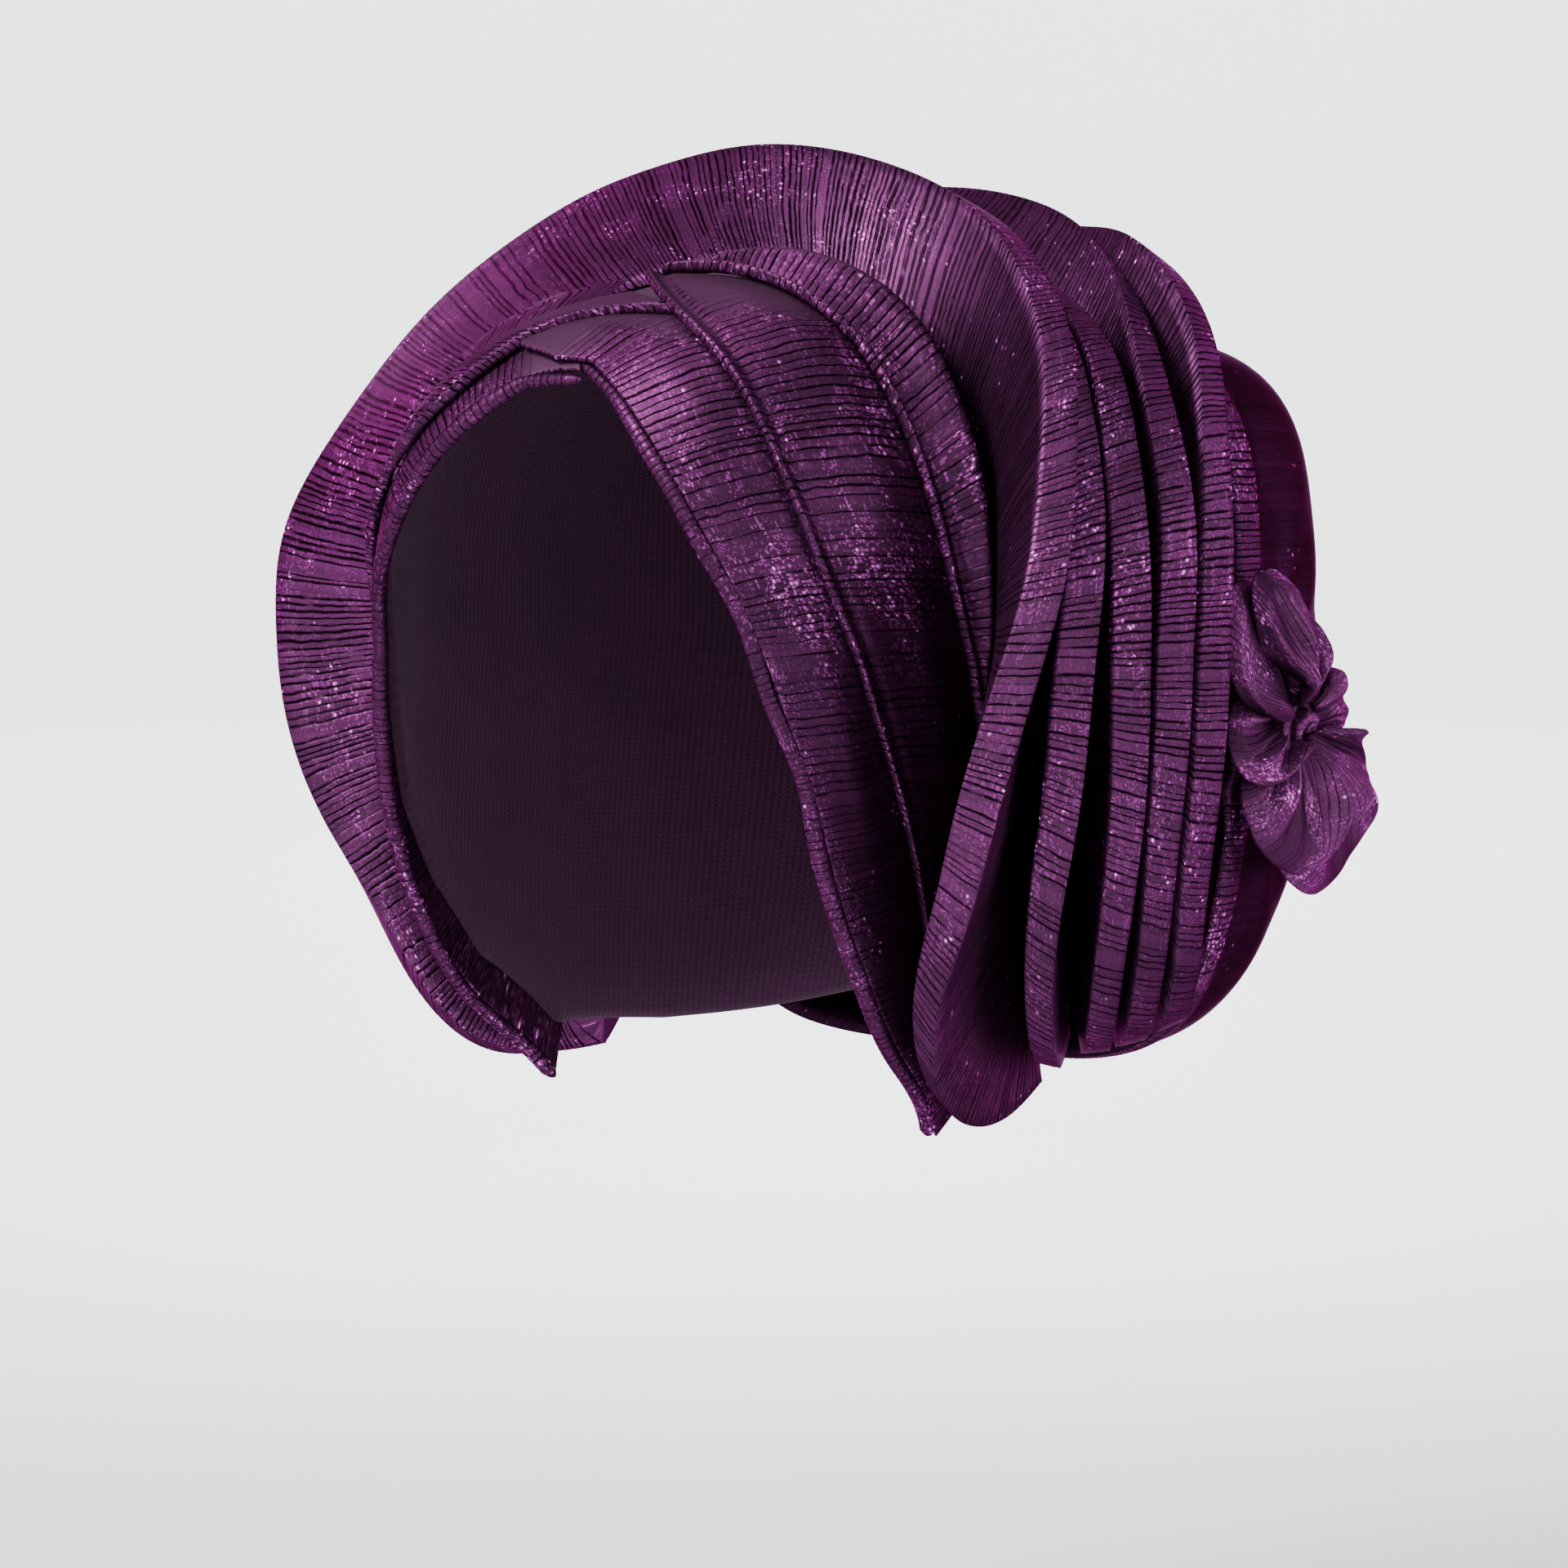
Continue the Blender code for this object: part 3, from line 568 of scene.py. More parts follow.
def band_rings(name, step=ROW_STEP):
    """Across a band: the front fold is a half circle, then the cloth runs back over the head with
    its bead and soft roll raised on it, turns under at the rear edge and comes back below."""
    bead, roll, roll_at, roll_width, tuck_above, tuck_below = BAND_DRESS[name]
    rolled = name in ("band_right_low", "band_left_1")

    table, distance = evenly(BANDS[name], lambda rows: on_head(edge_ways(rows)[0], 0.0), step)
    front_way, rear_way, width = edge_ways(table)
    beside_roll = float(rolled)
    if name == "band_left_1":  # its roll begins 14 mm down the band and has its full room by 22
        beside_roll = grown(distance, 14, 8)[:, None]
    begin = mixed(BAND_GAP / 2 - BAND_OVERHANG, ROLL_ROOM - ROLL_COVERED, beside_roll)
    begin = np.minimum(begin, 0.6 * width)
    tuck = mixed(tuck_above, tuck_below, grown(distance, 30, 25))[:, None]
    stop = np.maximum(width - BAND_GAP + 0.8 + tuck, begin + 0.8)
    radius = BAND_WALL / 2
    top = np.linspace(0, 1, BAND_POINTS) ** 1.25
    under = np.linspace(1, 0, UNDER_POINTS)
    share = np.concatenate([top, [1] * REAR_POINTS, under, [0] * FRONT_POINTS])
    turn = np.radians([0] * BAND_POINTS + [60, 0, -60] + [0] * UNDER_POINTS + [-120, 180, 120])
    over = np.repeat([1.0, 0.0], [BAND_POINTS, REAR_POINTS + UNDER_POINTS + FRONT_POINTS])
    edge = np.repeat([0.0, 1.0, 0.0, 1.0], [BAND_POINTS, REAR_POINTS, UNDER_POINTS, FRONT_POINTS])
    back = begin + radius + (stop - begin - 2 * radius) * share + radius * np.cos(turn) * edge
    up = radius + radius * (2 * over - 1) * (1 - edge) + radius * np.sin(turn) * edge
    rear_lift = np.minimum(table[:, 4:5], BAND_REAR_LIFT)
    inward = back - begin
    fold = bead * np.exp(-(((inward - BEAD_AT) / BEAD_WIDTH) ** 2))
    fold = fold - 0.5 * bead * np.exp(-(((inward - DIP_AT) / DIP_WIDTH) ** 2))
    across = grown(back, begin, stop - begin)
    fade = np.sin(np.pi * np.linspace(0, 1, len(table))) ** 0.6
    swell = np.exp(-(((across - roll_at) / roll_width) ** 2)) * np.sin(np.pi * across) ** 0.5
    swell = swell * (roll * fade + soft_waves(distance, len(name), 0.5 * fade))[:, None]
    lift = mixed(table[:, 4:5], rear_lift, across) + up
    lift = lift + (fold + swell) * np.maximum(over, 0.5 * edge)
    lift = lift + rolled * 0.9 * (1 - beside_roll) * (1 - across)
    way = unit(mixed(front_way[:, None, :], rear_way[:, None, :], (back / width)[..., None]))
    count = rib_count(distance, len(name))[:, None]
    smooth = on_head(way, lift)
    # A painted sheen on smooth cloth that faces up high on the head, and over the first 20 mm of the
    # rolled bands where they cross; the pleats are left out there too.
    facing_up = outward_normals(smooth)[..., 2] * grown(smooth[..., 2], 50, 12)
    crossing = np.clip((20 - distance) / 8, 0, 1)[:, None] * rolled
    smooth_painted_sheen = np.maximum(grown(facing_up, 0.74, 0.12), crossing) * over
    depth = PLEAT_HEIGHT * over * (1 - smooth_painted_sheen) * grown(width, 0, 9)
    # Painted shade: darker the lower the band runs below 20 mm, on the wearer's left, and away from
    # the front fold.
    shade_low_left = np.clip((20 - smooth[..., 2]) / 75, 0, 0.85)
    shade_low_left = shade_low_left * grown(smooth[..., 0], 20, 30)
    dull = shade_low_left * grown(across, 0.05, 0.25) * over
    looks = {"smooth_painted_sheen": smooth_painted_sheen, "dull": dull}
    return pleated(smooth, count, depth), count, distance, width[:, 0], looks


for band_name in BANDS:
    band_grid, band_ribs, band_run, band_width, band_looks = band_rings(band_name)
    hidden_points = REAR_POINTS + UNDER_POINTS + FRONT_POINTS + 1
    cloth_across = np.append(np.linspace(0, 60, BAND_POINTS), np.linspace(61, 90, hidden_points))
    cloth_across = cloth_across[None, :] * band_width[:, None] / 60
    piece_name = f"{band_name}_cloth"
    band = skin(
        piece_name, band_grid, band_ribs, cloth_across, folds_cloth, "plum_lame", **band_looks
    )
    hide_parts(band_name)
    flat_size = (float(band_width.max()) / 1000, float(band_run[-1]) / 1000)
    band_area = float(np.trapz(band_width, band_run)) * 1e-6
    band_area = max(band_area, 0.31 * flat_size[0] * flat_size[1])


# The rolled edges next to the face
# The cloth's edge rolled over a soft cord and stitched down, which makes a ribbed roll about four
# millimetres thick. It frames the face on both sides and fades out over the forehead.
ROLL_RADIUS = 2.2
ROLL_FLATNESS = 0.94
ROLL_PLACES = 20
ROLLS = {
    # roll: the band that it lies in front of, the first of its rows
    "face_roll_right": ("band_right_low", 0.0),
    "face_roll_left": ("band_left_1", 1.75),
}


def roll_rings(band, first, step=ROW_STEP, places=ROLL_PLACES):
    """A round cord along the front line of a band, square to its run, ribbed round about and with
    ends drawn in: the centre line plus a circle, a little flatter towards the head."""
    rows = BANDS[band]

    def centre(table):
        front, rear, width = edge_ways(table)
        share = np.minimum((ROLL_ROOM / 2 - 0.4) / width, 0.2)
        return on_head(unit(mixed(front, rear, share)), 0.6)

    coarse = np.linspace(first, len(rows) - 1, TABLE_SAMPLES)
    run = lengths(centre(along_table(rows, coarse)))
    distance = np.linspace(0, run[-1], int(run[-1] / step))
    line = centre(along_table(rows, np.interp(distance, run, coarse)))
    forward = unit(np.gradient(line, axis=0))
    out = unit(line - np.array([0, HEAD_MIDDLE_Y, -10.0]))
    side = unit(np.cross(forward, out))
    out = np.cross(side, forward)
    turn = round_turn(places)
    ends = np.clip(np.minimum(distance, distance[-1] - distance) / 3.0, 0.02, 1) ** 0.5
    count = rib_count(distance, first + 1)[:, None]
    ridge = 0.16 * (np.abs(np.sin(np.pi * count)) ** 0.5 - 0.7)
    slim = mixed(0.62, 0.95, grown(distance, 0, 35))[:, None]
    radius = (ROLL_RADIUS * slim + ridge + soft_waves(distance, 5, 0.2)[:, None]) * ends[:, None]
    turn = turn[..., None]
    square = np.cos(turn) * side[:, None, :] + ROLL_FLATNESS * np.sin(turn) * out[:, None, :]
    return line[:, None, :] + radius[..., None] * square, count


for roll_name, (band_name, first_row) in ROLLS.items():
    roll_grid, roll_ribs = roll_rings(band_name, first_row)
    around = np.linspace(0, 2 * np.pi * ROLL_RADIUS, ROLL_PLACES + 1)[None, :]
    roll = skin(f"{roll_name}_cloth", roll_grid, roll_ribs, around, roll_cloth, "plum_lame_folds")
    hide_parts(roll_name)


# The padded leaves
# Five flat arches of wadding covered in the cloth, standing up one behind the other from ear to
# ear. Each has pleats that spread from the head to its rim, and a rim strip with a pressed edge
# on both sides, sewn to the cap along its foot.
LEAF_THICKNESS = 9.0
LEAF_GAP = 0.7
SEAT_WIDTH = 9.5
LEAVES = {
    "leaf_a": (
        # rim out, rim back, rim up, angle of the seat from the crown, seat back
        (0, 4, 121, 15, -21), (36, 4.5, 116, 24, -11), (69, 0, 104, 42, -8),
        (100, -18, 75, 62, -7), (118, -44, 30, 79, -5), (114, -53, 0, 90, -3),
        (105, -56, -30, 101, 0), (97, -52, -50, 109, 2), (87, -46, -67, 117, 4),
        (80, -40, -84, 125, 6), (75, -27, -101, 133, 8), (71, -4, -109, 138, 9),
        (67, 18, -108, 140, 10),
    ),
    "leaf_b": (
        (0, 30, 109, 0, 8), (33, 28, 105, 22, 8), (62, 17, 93, 42, 8),
        (90, 0, 70, 62, 8), (109, -20, 30, 79, 9), (107, -22, 0, 90, 11),
        (101, -18, -30, 101, 14), (93, -13, -60, 113, 17), (86, -5, -84, 124, 20),
        (80, 6, -97, 131, 21), (73, 18, -100, 135, 22), (67, 29, -97, 135, 23),
    ),
    "leaf_c": (
        (0, 50, 105, 0, 24), (30, 47, 101, 22, 24), (58, 37, 90, 42, 24),
        (89, 16, 68, 62, 23), (109, -3, 30, 79, 23), (106, 2, 0, 90, 25),
        (101, 9, -30, 101, 28), (94, 14, -62, 113, 31), (88, 18, -86, 124, 33),
        (81, 26, -97, 131, 34), (73, 35, -99, 134, 35),
    ),
    "leaf_d": (
        (0, 76, 111, 0, 43), (30, 73, 107, 22, 42), (57, 62, 96, 42, 39),
        (86, 38, 72, 62, 37), (107, 20, 30, 79, 37), (104, 22, 0, 90, 39),
        (100, 27, -30, 101, 42), (94, 32, -62, 113, 44), (88, 35, -86, 124, 45),
        (81, 42, -97, 131, 46), (73, 49, -99, 134, 47),
    ),
    "leaf_e": (
        (0, 90, 102, 0, 58), (29, 87, 101, 22, 56), (60, 73, 98, 42, 55),
        (89, 58, 76, 62, 52), (103, 42, 30, 79, 51), (101, 44, 0, 90, 53),
        (97, 48, -30, 101, 57), (91, 51, -62, 113, 58), (86, 54, -86, 124, 58),
        (79, 60, -97, 131, 57), (71, 66, -98, 134, 57),
    ),
}
# On the wearer's right the front leaf comes forward over the head to the upper band
FRONT_LEAF_RIGHT = (
    # angle of the seat from the crown, seat back, for each row of leaf_a
    (-15, -21), (-10, -39), (-1.5, -56.5), (25, -72), (70, -57),
    (87.5, -47), (105, -37.5), (114, -32.5), (126, -24), (135, -17),
    (140, -12.5), (144, -5.5), (146, 2),
)
LEAF_PLEAT = 0.13
RIM_SWELL = 0.12
FACE_SWELL = 1.3
RIM_POINTS = 12
FACE_POINTS = 10
FOOT_POINTS = 3


def head_at(angle, back, lift):
    """The point of the head at this distance back, at this angle down from the crown."""
    angle, back = np.broadcast_arrays(np.radians(angle), back)
    side, up = np.sin(angle), np.cos(angle)
    height = np.where(up > 0, CROWN_HEIGHT, CHIN_DEPTH) + lift
    round_it = (
        np.abs(side / (HEAD_HALF_WIDTH + lift)) ** HEAD_SQUARENESS
        + np.abs(up / height) ** HEAD_SQUARENESS
    )
    reach = np.zeros_like(side)
    for _ in range(6):
        middle = HEAD_MIDDLE_Y + NECK_SHIFT * np.minimum(reach * up, 0)
        share = np.abs((back - middle) / (HEAD_HALF_DEPTH + lift)) ** HEAD_SQUARENESS
        reach = (np.maximum(1 - share, 0.02) / round_it) ** (1 / HEAD_SQUARENESS)
    return np.stack([reach * side, back, reach * up], axis=-1)


def leaf_rings(name, step=ROW_STEP):
    """Round a leaf: up its front face, across its rim, down its back face and across its foot. The
    faces swell a little between foot and rim, the rim swells between its two pressed edges, and a
    narrow groove runs inside each edge."""
    half = np.array(LEAVES[name], float)
    right = half
    if name == "leaf_a":
        right = np.column_stack([half[:, :3], np.array(FRONT_LEAF_RIGHT)])
    whole = np.concatenate([right[:0:-1] * (-1, 1, 1, -1, 1), half])
    table, distance = evenly(whole, lambda rows: rows[:, :3], step)
    seed = ord(name[-1])
    rim = table[:, :3]
    front_seat = head_at(table[:, 3], table[:, 4], LEAF_GAP)
    back_seat = head_at(table[:, 3], table[:, 4] + SEAT_WIDTH, LEAF_GAP)
    outward = unit(rim - front_seat)
    back = np.array([0.0, 1.0, 0.0])
    away = unit(back - outward * (outward @ back)[:, None])
    foot_fade = np.clip(np.minimum(distance, distance[-1] - distance) / 30, 0, 1)
    rim = rim + outward * soft_waves(distance, seed, 0.30 * foot_fade)[:, None]
    rim = rim + away * soft_waves(distance * 0.8, seed + 7, 0.5 * foot_fade)[:, None]
    back_rim = rim + away * LEAF_THICKNESS
    face = np.linspace(0, 1, FACE_POINTS) ** 0.85
    strip = np.linspace(0, 1, RIM_POINTS)
    foot = np.linspace(0, 1, FOOT_POINTS + 2)[1:-1]
    edge = 0.30 * np.exp(-(((1 - face) / 0.030) ** 2))
    swell = FACE_SWELL * np.sin(np.pi * face) + edge
    pressed = np.exp(-(((np.abs(strip - 0.5) - 0.42) / 0.045) ** 2))
    corner = np.clip(1 - np.abs(np.abs(strip - 0.5) - 0.5) / 0.07, 0, 1)
    domed = RIM_SWELL * np.sqrt(np.maximum(1 - (2 * strip - 1) ** 2, 0))
    domed = domed - 0.18 * pressed + 0.25 * corner

    def line(first, last, share, push, by):
        base = mixed(first[:, None, :], last[:, None, :], share[None, :, None])
        return base + push[:, None, :] * by[None, :, None]

    rings = np.concatenate(
        [
            line(front_seat, rim, face, -away, swell),
            line(rim, back_rim, strip[1:-1], outward, domed[1:-1]),
            line(back_rim, back_seat, 1 - face[::-1], away, swell[::-1]),
            line(back_seat, front_seat, foot, outward, 0 * foot),
        ],
        axis=1,
    )
    count = rib_count(distance, seed)[:, None]
    on_face = LEAF_PLEAT * grown(face, 0.1, 0.5)
    on_rim = np.full(RIM_POINTS - 2, LEAF_PLEAT)
    depth = np.concatenate([on_face, on_rim, on_face[::-1], 0 * foot])
    inside = np.concatenate([face < 0.98, np.zeros(RIM_POINTS - 2), face[::-1] < 0.98, foot > 0])
    # Painted shade: on the faces, which stand close between the leaves, and on the foot, on the front
    # leaf only towards the wearer's left; and darker low down on the wearer's left.
    in_shade = grown(rings[..., 0], 35, 25) if name == "leaf_a" else 1.0
    low = np.clip((-45 - rings[..., 2]) / 60, 0, 0.45) * grown(rings[..., 0], 0, 40)
    looks = {"dull": np.maximum(0.70 * inside * in_shade, low), "bold": 0.4 + 0.6 * inside}
    return pleated(rings, count, depth[None, :]), count, looks


for leaf_name in LEAVES:
    leaf_grid, leaf_ribs, leaf_looks = leaf_rings(leaf_name)
    middle_ring = leaf_grid[len(leaf_grid) // 2]
    round_leaf = lengths(np.concatenate([middle_ring, middle_ring[:1]]))[None, :]
    piece_name = f"{leaf_name}_cloth"
    leaf = skin(
        piece_name, leaf_grid, leaf_ribs, round_leaf, leaf_cloth, "plum_lame", **leaf_looks
    )
    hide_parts(leaf_name)


# The padded bowl
# A squarish dome of thick wadding under the cloth that closes the back. Its front edge is a
# pleated strip like the leaves' rims, and the dome is drawn smooth, with soft gathers towards the
# rosette, in a copy of the cloth with fainter lines and glints, darkened by painted shade.
BOWL_MIDDLE = (0.0, 76.0, -17.0)
BOWL_HALF_WIDTH = 88.0
BOWL_HALF_HEIGHT = 92.0
BOWL_DEPTH = 60.0
BOWL_SQUARENESS = 4.6
BOWL_TAPER = 0.10
BOWL_TUCK = 26.0
BOWL_WALL = 5.0
BOWL_STRIP = 11.0
GATHERS = 17
GATHER_HEIGHT = 1.1
GATHER_REACH = 42.0
INSIDE_RINGS = 10
OUTSIDE_RINGS = 40
ROSETTE_MIDDLE = (88.5, 88.0, -20.0)


def dome(turn, angle, inset):
    """A point of the bowl: turn goes round it and angle from its front edge to its back. Both ways
    it is a squared circle, |cos|^(2/p) and |sin|^(2/p). Below it is a little narrower and tucked
    in."""
    squared = 2 / BOWL_SQUARENESS
    across = np.sign(np.cos(turn)) * np.abs(np.cos(turn)) ** squared
    up = np.sign(np.sin(turn)) * np.abs(np.sin(turn)) ** squared
    keep = np.cos(angle) ** squared
    width = (BOWL_HALF_WIDTH - inset) * keep * (1 + BOWL_TAPER * np.minimum(up * keep, 0))
    tuck = BOWL_TUCK * np.maximum(-up * keep, 0) ** 1.5
    back = BOWL_MIDDLE[1] + (BOWL_DEPTH - tuck - inset) * np.sin(angle) ** squared
    high = BOWL_MIDDLE[2] + (BOWL_HALF_HEIGHT - inset) * keep * up
    return np.stack([width * across, back, high], axis=-1)


def bowl_rings(places=1200):
    """From the middle of the hollow side out to the front edge, over the pleated strip and the
    dome to the middle of the back. Places round the edge are evenly spaced, so pleats are too."""
    even = np.linspace(0, 2 * np.pi, 4000)
    run = lengths(dome(even, 0.0, 0.0))
    around = np.linspace(0, run[-1], places, endpoint=False)
    turn = np.interp(around, run, even)[None, :]
    last = 0.495 * np.pi
    back_down = np.linspace(last, 0.02, INSIDE_RINGS)
    inside = dome(turn, back_down[:, None], BOWL_WALL - 0.4)
    outside = dome(turn, (last * np.linspace(0, 1, OUTSIDE_RINGS) ** 1.7)[:, None], 0.0)
    rings = np.concatenate([inside, outside])
    return rings, around, run[-1]


bowl_grid, bowl_around, bowl_length = bowl_rings()
bowl_ribs = rib_count(np.append(bowl_around, bowl_length), 4)
bowl_ribs = bowl_ribs * np.round(bowl_ribs[-1]) / bowl_ribs[-1]
outer = np.arange(len(bowl_grid)) >= INSIDE_RINGS
from_edge = np.where(outer, bowl_grid[:, :, 1].mean(axis=1) - BOWL_MIDDLE[1], 0.0)
on_strip = np.clip((BOWL_STRIP - from_edge) / 1.0, 0, 1) * outer
strip_dome = np.sin(np.pi * np.clip(from_edge / BOWL_STRIP, 0, 1))
strip_dome = strip_dome * outer * (from_edge < BOWL_STRIP)
to_rosette = bowl_grid - np.array(ROSETTE_MIDDLE)
near = np.exp(-((np.linalg.norm(to_rosette, axis=-1) / GATHER_REACH) ** 2))
bearing = np.arctan2(to_rosette[..., 2], to_rosette[..., 1])
gathers = near * GATHER_HEIGHT * np.sin(bearing * GATHERS + 0.8 * np.sin(bearing * 5))
gathers = gathers * outer[:, None]
slack = 0.9 * np.sin(bowl_grid[..., 0] / 21 + 1.0) * np.sin(bowl_grid[..., 2] / 26 + 0.4)
bowl_wave = np.abs(np.sin(np.pi * bowl_ribs[:-1]))[None, :] ** 0.4 - 0.8
lifted = (
    PLEAT_HEIGHT * on_strip[:, None] * bowl_wave
    + 0.8 * strip_dome[:, None]
    + gathers
    + slack * (outer * (1 - on_strip))[:, None]
)
bowl_grid = bowl_grid + outward_normals(bowl_grid) * lifted[..., None]
bowl_across = lengths(bowl_grid[:, bowl_grid.shape[1] // 4])[:, None]
bowl_ribs = bowl_ribs[None, :]
bowl_cover = skin("bowl_cover", bowl_grid, bowl_ribs, bowl_across, smooth_shaded_cloth, "plum_lame")
bowl_cover.data.materials.append(folds_cloth)
strip_faces = np.zeros(len(bowl_cover.data.polygons), np.int32)
face_ring = np.repeat(np.arange(len(bowl_grid) - 1), bowl_grid.shape[1])
strip_faces[: len(face_ring)] = (on_strip[face_ring] > 0.5) & (on_strip[face_ring + 1] > 0)
bowl_cover.data.polygons.foreach_set("material_index", strip_faces)
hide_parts("bowl")


# The stuffing behind the cap
# A short round roll of stuffing in the cap's cloth, which holds the bowl off the back of the head.
# It is hidden between the leaves and the bowl, and stitched to both.
CORE_RADIUS = 20.0
CORE_MIDDLE_Z = 3.0
CORE_INSET = 0.6
CORE_RINGS = 40
CORE_PLACES = 72


def core_rings(places=CORE_PLACES):
    """A drum with rounded ends along Y: its radius follows a profile from front to rear."""
    front = HEAD_HALF_DEPTH + HEAD_MIDDLE_Y + 0.4
    rear = BOWL_MIDDLE[1] + BOWL_DEPTH - BOWL_WALL - 0.4
    share = np.linspace(0, 1, CORE_RINGS)[:, None]
    size = CORE_RADIUS * (0.8 + 0.2 * np.sin(np.pi * share) ** 0.3) - CORE_INSET
    turn = round_turn(places)
    size = size + 0.4 * np.sin(9 * turn) * np.sin(np.pi * share)
    back = np.broadcast_to(mixed(front, rear, share), size.shape)
    return np.stack([size * np.cos(turn), back, CORE_MIDDLE_Z + size * np.sin(turn)], axis=-1)


core = skin(
    "bowl_stuffing",
    core_rings(),
    np.linspace(0, 60, CORE_PLACES + 1)[None, :],
    np.linspace(0, 45, CORE_RINGS)[:, None],
    cap_cloth,
    "cap_cloth",
)
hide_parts("bowl_core")


# The rosette
# A strip of the cloth gathered by hand into a loose rose on the wearer's left: creased petals that
# lie over each other like a pinwheel, with rolled edges, round a rolled bud.
PETAL_WALL = 1.4
EDGE_ROUND = 0.5
PETAL_TWIST = 5.5
PETAL_BASE_RADIUS = 9.0
PETALS = (
    # middle angle from the rear, angle covered, reach, height of the base, curl, share round the
    # petal where it reaches farthest, fall of its edge from there, folds, their height, fullness,
    # share where its main ridge runs, height of the ridge
    (18, 88, 20, 6, 1, 0.35, 0.35, 1.6, 1.8, 4.5, 0.30, 3.0),
    (82, 104, 41, 6, 0, 0.82, 1.35, 3.3, 2.6, 5.0, 0.90, 5.0),
    (132, 76, 40, 6, 0, 0.35, 1.00, 0.8, 1.0, 1.5, 0.10, 1.0),
    (195, 80, 24, 6, 0, 0.50, 0.40, 2.0, 1.5, 1.0, 0.85, 5.5),
    (250, 78, 40, 6, 1, 0.95, 0.50, 1.8, 1.6, 3.0, 0.95, 5.0),
    (300, 88, 46, 6, 1, 0.36, 1.10, 2.4, 2.0, 6.0, 0.62, 3.0),
)
PETAL_TUCK = 4.0
PETAL_POINTS = 28
PETAL_SEED = 40
BUD_HEIGHT = 14.5
BUD_TURNS = 2.1
BUD_PLACES = 18


def in_rosette(rear, up, out):
    """A point by its place in the rosette: towards the rear, up and out from the bowl."""
    rear, up, out = np.broadcast_arrays(rear, up, out)
    x, y, z = ROSETTE_MIDDLE
    return np.stack([x + out, y + rear, z + up], axis=-1)


def petal_rings(number, row, rows=150):
    """A petal between two angles: a pointed edge that falls away on both sides of its tip, height
    from its twist, its fullness as one soft swell, one main ridge and some lower folds that all run
    out from the middle, and an edge that is turned down."""
    middle, covered, reach, base, curl, peak, fall, folds, fold_height, *rest = row
    fullness, ridge_at, ridge = rest
    share = np.linspace(0, 1, rows)[:, None]
    out_way = np.linspace(0, 1, PETAL_POINTS)[None, :]
    first, second, third = np.random.default_rng(PETAL_SEED + number).uniform(0, ANY_PHASE, 3)
    angle = np.radians(middle + covered * (share - 0.5) + 16 * np.sin(1.9 * out_way + 0.4) - 10)
    edge = reach * (1 - fall * (np.sqrt((share - peak) ** 2 + 0.004) - 0.063) ** 1.2)
    edge = np.maximum(edge, 0.5 * reach) * (1 - 0.3 * np.abs(2 * share - 1) ** 6)
    radius = mixed(PETAL_BASE_RADIUS - PETAL_TUCK, edge, out_way)
    middle_out = np.sin(np.pi * np.clip(out_way * 0.85 + 0.08, 0, 1))
    bend = 1.2 * np.sin(2.4 * out_way + third)
    drape = (0.5 + 0.5 * np.sin(2 * np.pi * folds * share + bend + first)) ** 2.2
    small = np.sin(2 * np.pi * folds * 3.7 * share + second - 3.0 * out_way)
    crest = np.exp(-(((share - ridge_at - 0.05 * np.sin(4 * out_way + first)) / 0.085) ** 2))
    height = base + PETAL_TWIST * share + curl * out_way**2 + 1.2
    height = height + fullness * middle_out**0.8 * (0.5 + 0.5 * share)
    height = height + (fold_height * 2.2 * drape + 0.3 * small) * middle_out
    height = height + ridge * crest * (1.15 - 0.75 * out_way) * np.clip(out_way * 5, 0, 1)
    height = height - 3.0 * grown(out_way, 0.85, 0.15) ** 2
    height = np.maximum(height, 2.0 + PETAL_TWIST * share)

    def surface(radius, angle, height):
        return in_rosette(radius * np.cos(angle), radius * np.sin(angle), height)

    top = surface(radius, angle, height)
    under = surface(radius - EDGE_ROUND, angle, height - PETAL_WALL)
    rim = surface(edge + EDGE_ROUND, angle[:, -1:], height[:, -1:] - PETAL_WALL / 2)
    # Painted shade in the valleys between the folds and away from the ridge, and all over the
    # underside.
    valley = np.clip(1 - np.maximum(1.6 * drape, 1.4 * crest), 0, 1)
    dull = np.concatenate([valley, valley[:, -1:], np.ones_like(valley)], axis=1)
    return np.concatenate([top, rim, under[:, ::-1]], axis=1), dull


for number, row in enumerate(PETALS, 1):
    petal_grid, petal_dull = petal_rings(number, row)
    rows_run = lengths(petal_grid[:, 20])[:, None]
    one_row = petal_grid[len(petal_grid) // 2]
    petal_across = lengths(np.concatenate([one_row, one_row[:1]]))[None, :]
    petal = skin(
        f"petal_{number}_cloth",
        petal_grid,
        rib_count(rows_run, number),
        petal_across,
        petal_cloth,
        "plum_lame_folds",
        dull=petal_dull,
    )
    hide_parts(f"petal_{number}")
    petal_top = petal_grid[:, :PETAL_POINTS]
    petal_length = float(lengths(petal_top.transpose(1, 0, 2))[-1].max()) / 1000


def bud_rings(rows=420, places=BUD_PLACES):
    """The bud: a strip of cloth stood on edge and wound from its middle outwards, so that each ring
    is the strip's thin section at one place of the spiral, lower and wider as it goes out."""
    share = np.linspace(0, 1, rows)[:, None]
    turn = 2 * np.pi * BUD_TURNS * share + 0.6
    radius = 1.4 + 7.6 * share
    high = BUD_HEIGHT - 4.0 * share + 1.2 * np.sin(0.8 * turn)
    wall = 1.35 + 0.15 * np.sin(5 * turn)
    section = round_turn(places)
    thick = wall * np.cos(section) * (1 + 0.35 * np.clip(np.sin(section), 0, 1))
    level = np.clip(0.5 + 0.62 * np.sin(section), 0, 1)
    flare = np.maximum(radius + thick + 1.2 * level**3, 0.15)
    out = mixed(0.5, high, level)
    return in_rosette(flare * np.cos(turn), flare * np.sin(turn) - 2.0 * level, out)


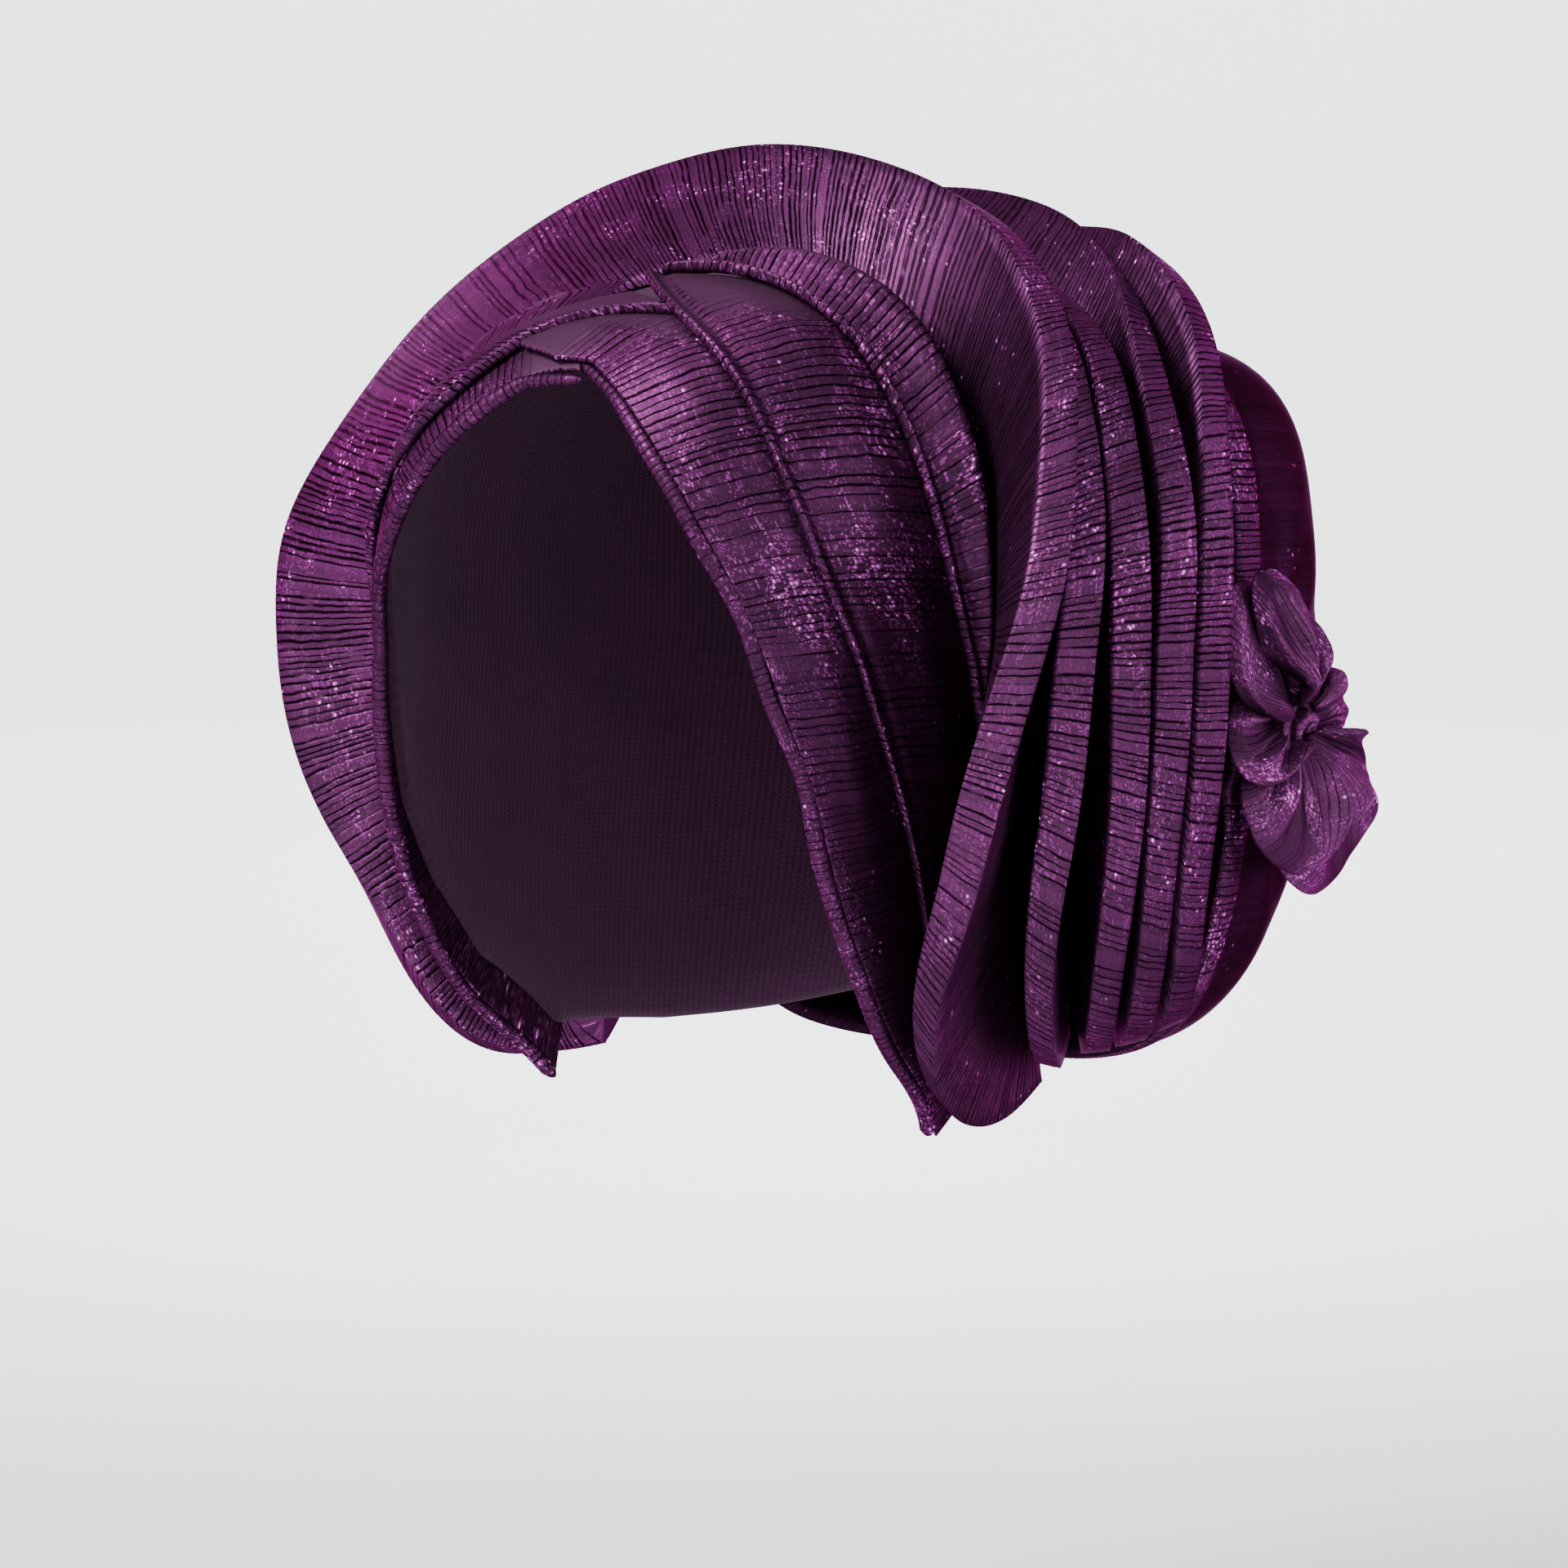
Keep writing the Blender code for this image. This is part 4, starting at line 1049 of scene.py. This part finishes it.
bud_grid = bud_rings()
bud_run = lengths(bud_grid[:, 4])[:, None]
bud = skin(
    "rosette_bud_cloth",
    bud_grid,
    rib_count(bud_run, 2.0),
    np.linspace(0, 34, BUD_PLACES + 1)[None, :],
    petal_cloth,
    "plum_lame_folds",
)
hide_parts("rosette_bud")


# The studio
# A plain pale floor that curves up all round into a plain pale wall. The wrap is lit by soft
# panels: the key high in front of the face, weaker ones at the side and overhead, and a weak one
# beside the camera. Three more light the wall and one the floor, all turned away from the wrap.
FLOOR_Z = -0.42
FLOOR_RADIUS = 3.6
FLOOR_PLACES = 64
WALL_HEIGHT = 3.0
SWEEP = 1.2
CAMERA_TURN = 40.0
CAMERA_RISE = 6.0
CAMERA_DISTANCE = 1.3
CAMERA_LENS = 121.9
CAMERA_AIM = (6.95, 1.05, -34.81)
SENSOR_WIDTH = 36.0
WORLD_COLOUR = (0.93, 0.95, 1.0, 1.0)
WORLD_STRENGTH = 0.55
PANEL_TARGET = (0.0, 0.03, -0.09)
PANELS = {
    # azimuth, elevation, distance, size, power, slope at which it turns away (0 faces the wrap)
    "key": (-8, 42, 1.6, 0.6, 44, 0.0),
    "side": (95, 20, 1.8, 0.7, 7, 0.0),
    "top": (60, 80, 1.7, 0.9, 8, 0.0),
    "fill": (42, 2, 2.0, 1.0, 6, 0.0),
    "backdrop_150": (150, 38, 2.6, 1.2, 170, 0.35),
    "backdrop_220": (220, 38, 2.6, 1.2, 170, 0.35),
    "backdrop_290": (290, 38, 2.6, 1.2, 170, 0.35),
    "floor_light": (220, 25, 1.3, 1.2, 36, 1.2),
}


def studio_floor():
    """A disc whose edge sweeps up a quarter circle into an upright wall, turned round Z."""
    flat = np.linspace(0.01, FLOOR_RADIUS, 12)
    sweep = np.linspace(0, np.pi / 2, 14)[1:]
    radius = np.concatenate([flat, FLOOR_RADIUS + SWEEP * np.sin(sweep), [FLOOR_RADIUS + SWEEP]])
    height = np.concatenate([0 * flat, SWEEP * (1 - np.cos(sweep)), [WALL_HEIGHT]])
    turn = round_turn(FLOOR_PLACES)
    level = FLOOR_Z + np.broadcast_to(height[:, None], (len(radius), FLOOR_PLACES))
    radius = radius[:, None]
    points = np.stack([radius * np.cos(turn), radius * np.sin(turn), level], axis=-1)
    faces = ring_quads(len(radius), FLOOR_PLACES).reshape(-1, 4).tolist()
    middle_face = list(range(FLOOR_PLACES))[::-1]
    mesh = bpy.data.meshes.new("floor")
    mesh.from_pydata(points.reshape(-1, 3).tolist(), [], faces + [middle_face])
    mesh.shade_smooth()
    paper = Finish("studio_paper")
    grain = paper.noise(paper.node("ShaderNodeTexCoord", output=3), 2.0)
    paper.set(Base_Color=paper.blend(grain, (0.80, 0.81, 0.82), (0.82, 0.83, 0.84)), Roughness=0.9)
    mesh.materials.append(paper.material)
    floor = bpy.data.objects.new("floor", mesh)
    bpy.context.scene.collection.objects.link(floor)


def panel(name, azimuth, elevation, distance, size, power, slope):
    """A soft light panel, placed by its direction and distance from the wrap. It faces the wrap or,
    with a slope, turns away from it and down by that slope."""
    lamp = bpy.data.lights.new(name, "AREA")
    lamp.shape = "DISK"
    lamp.size = size
    lamp.energy = power
    body = bpy.data.objects.new(name, lamp)
    away = Vector(direction(azimuth, elevation))
    body.location = Vector(PANEL_TARGET) + away * distance
    shines = Vector((away.x, away.y, -slope)) if slope else -away
    body.rotation_euler = shines.to_track_quat("-Z", "Y").to_euler()
    bpy.context.scene.collection.objects.link(body)


studio_floor()
for panel_name, panel_row in PANELS.items():
    panel(panel_name, *panel_row)
world = bpy.data.worlds.new("studio")
world.use_nodes = True
world.node_tree.nodes["Background"].inputs["Color"].default_value = WORLD_COLOUR
world.node_tree.nodes["Background"].inputs["Strength"].default_value = WORLD_STRENGTH
bpy.context.scene.world = world

lens = bpy.data.cameras.new("camera")
lens.lens = CAMERA_LENS
lens.sensor_width = SENSOR_WIDTH
lens.clip_start = 0.05
camera = bpy.data.objects.new("camera", lens)
aim = (np.array(CAMERA_AIM) - SEAT) * 0.001
camera_way = direction(CAMERA_TURN, CAMERA_RISE)
camera.location = Vector(aim + camera_way * CAMERA_DISTANCE)
camera.rotation_euler = Vector(-camera_way).to_track_quat("-Z", "Y").to_euler()
bpy.context.scene.collection.objects.link(camera)
bpy.context.scene.camera = camera
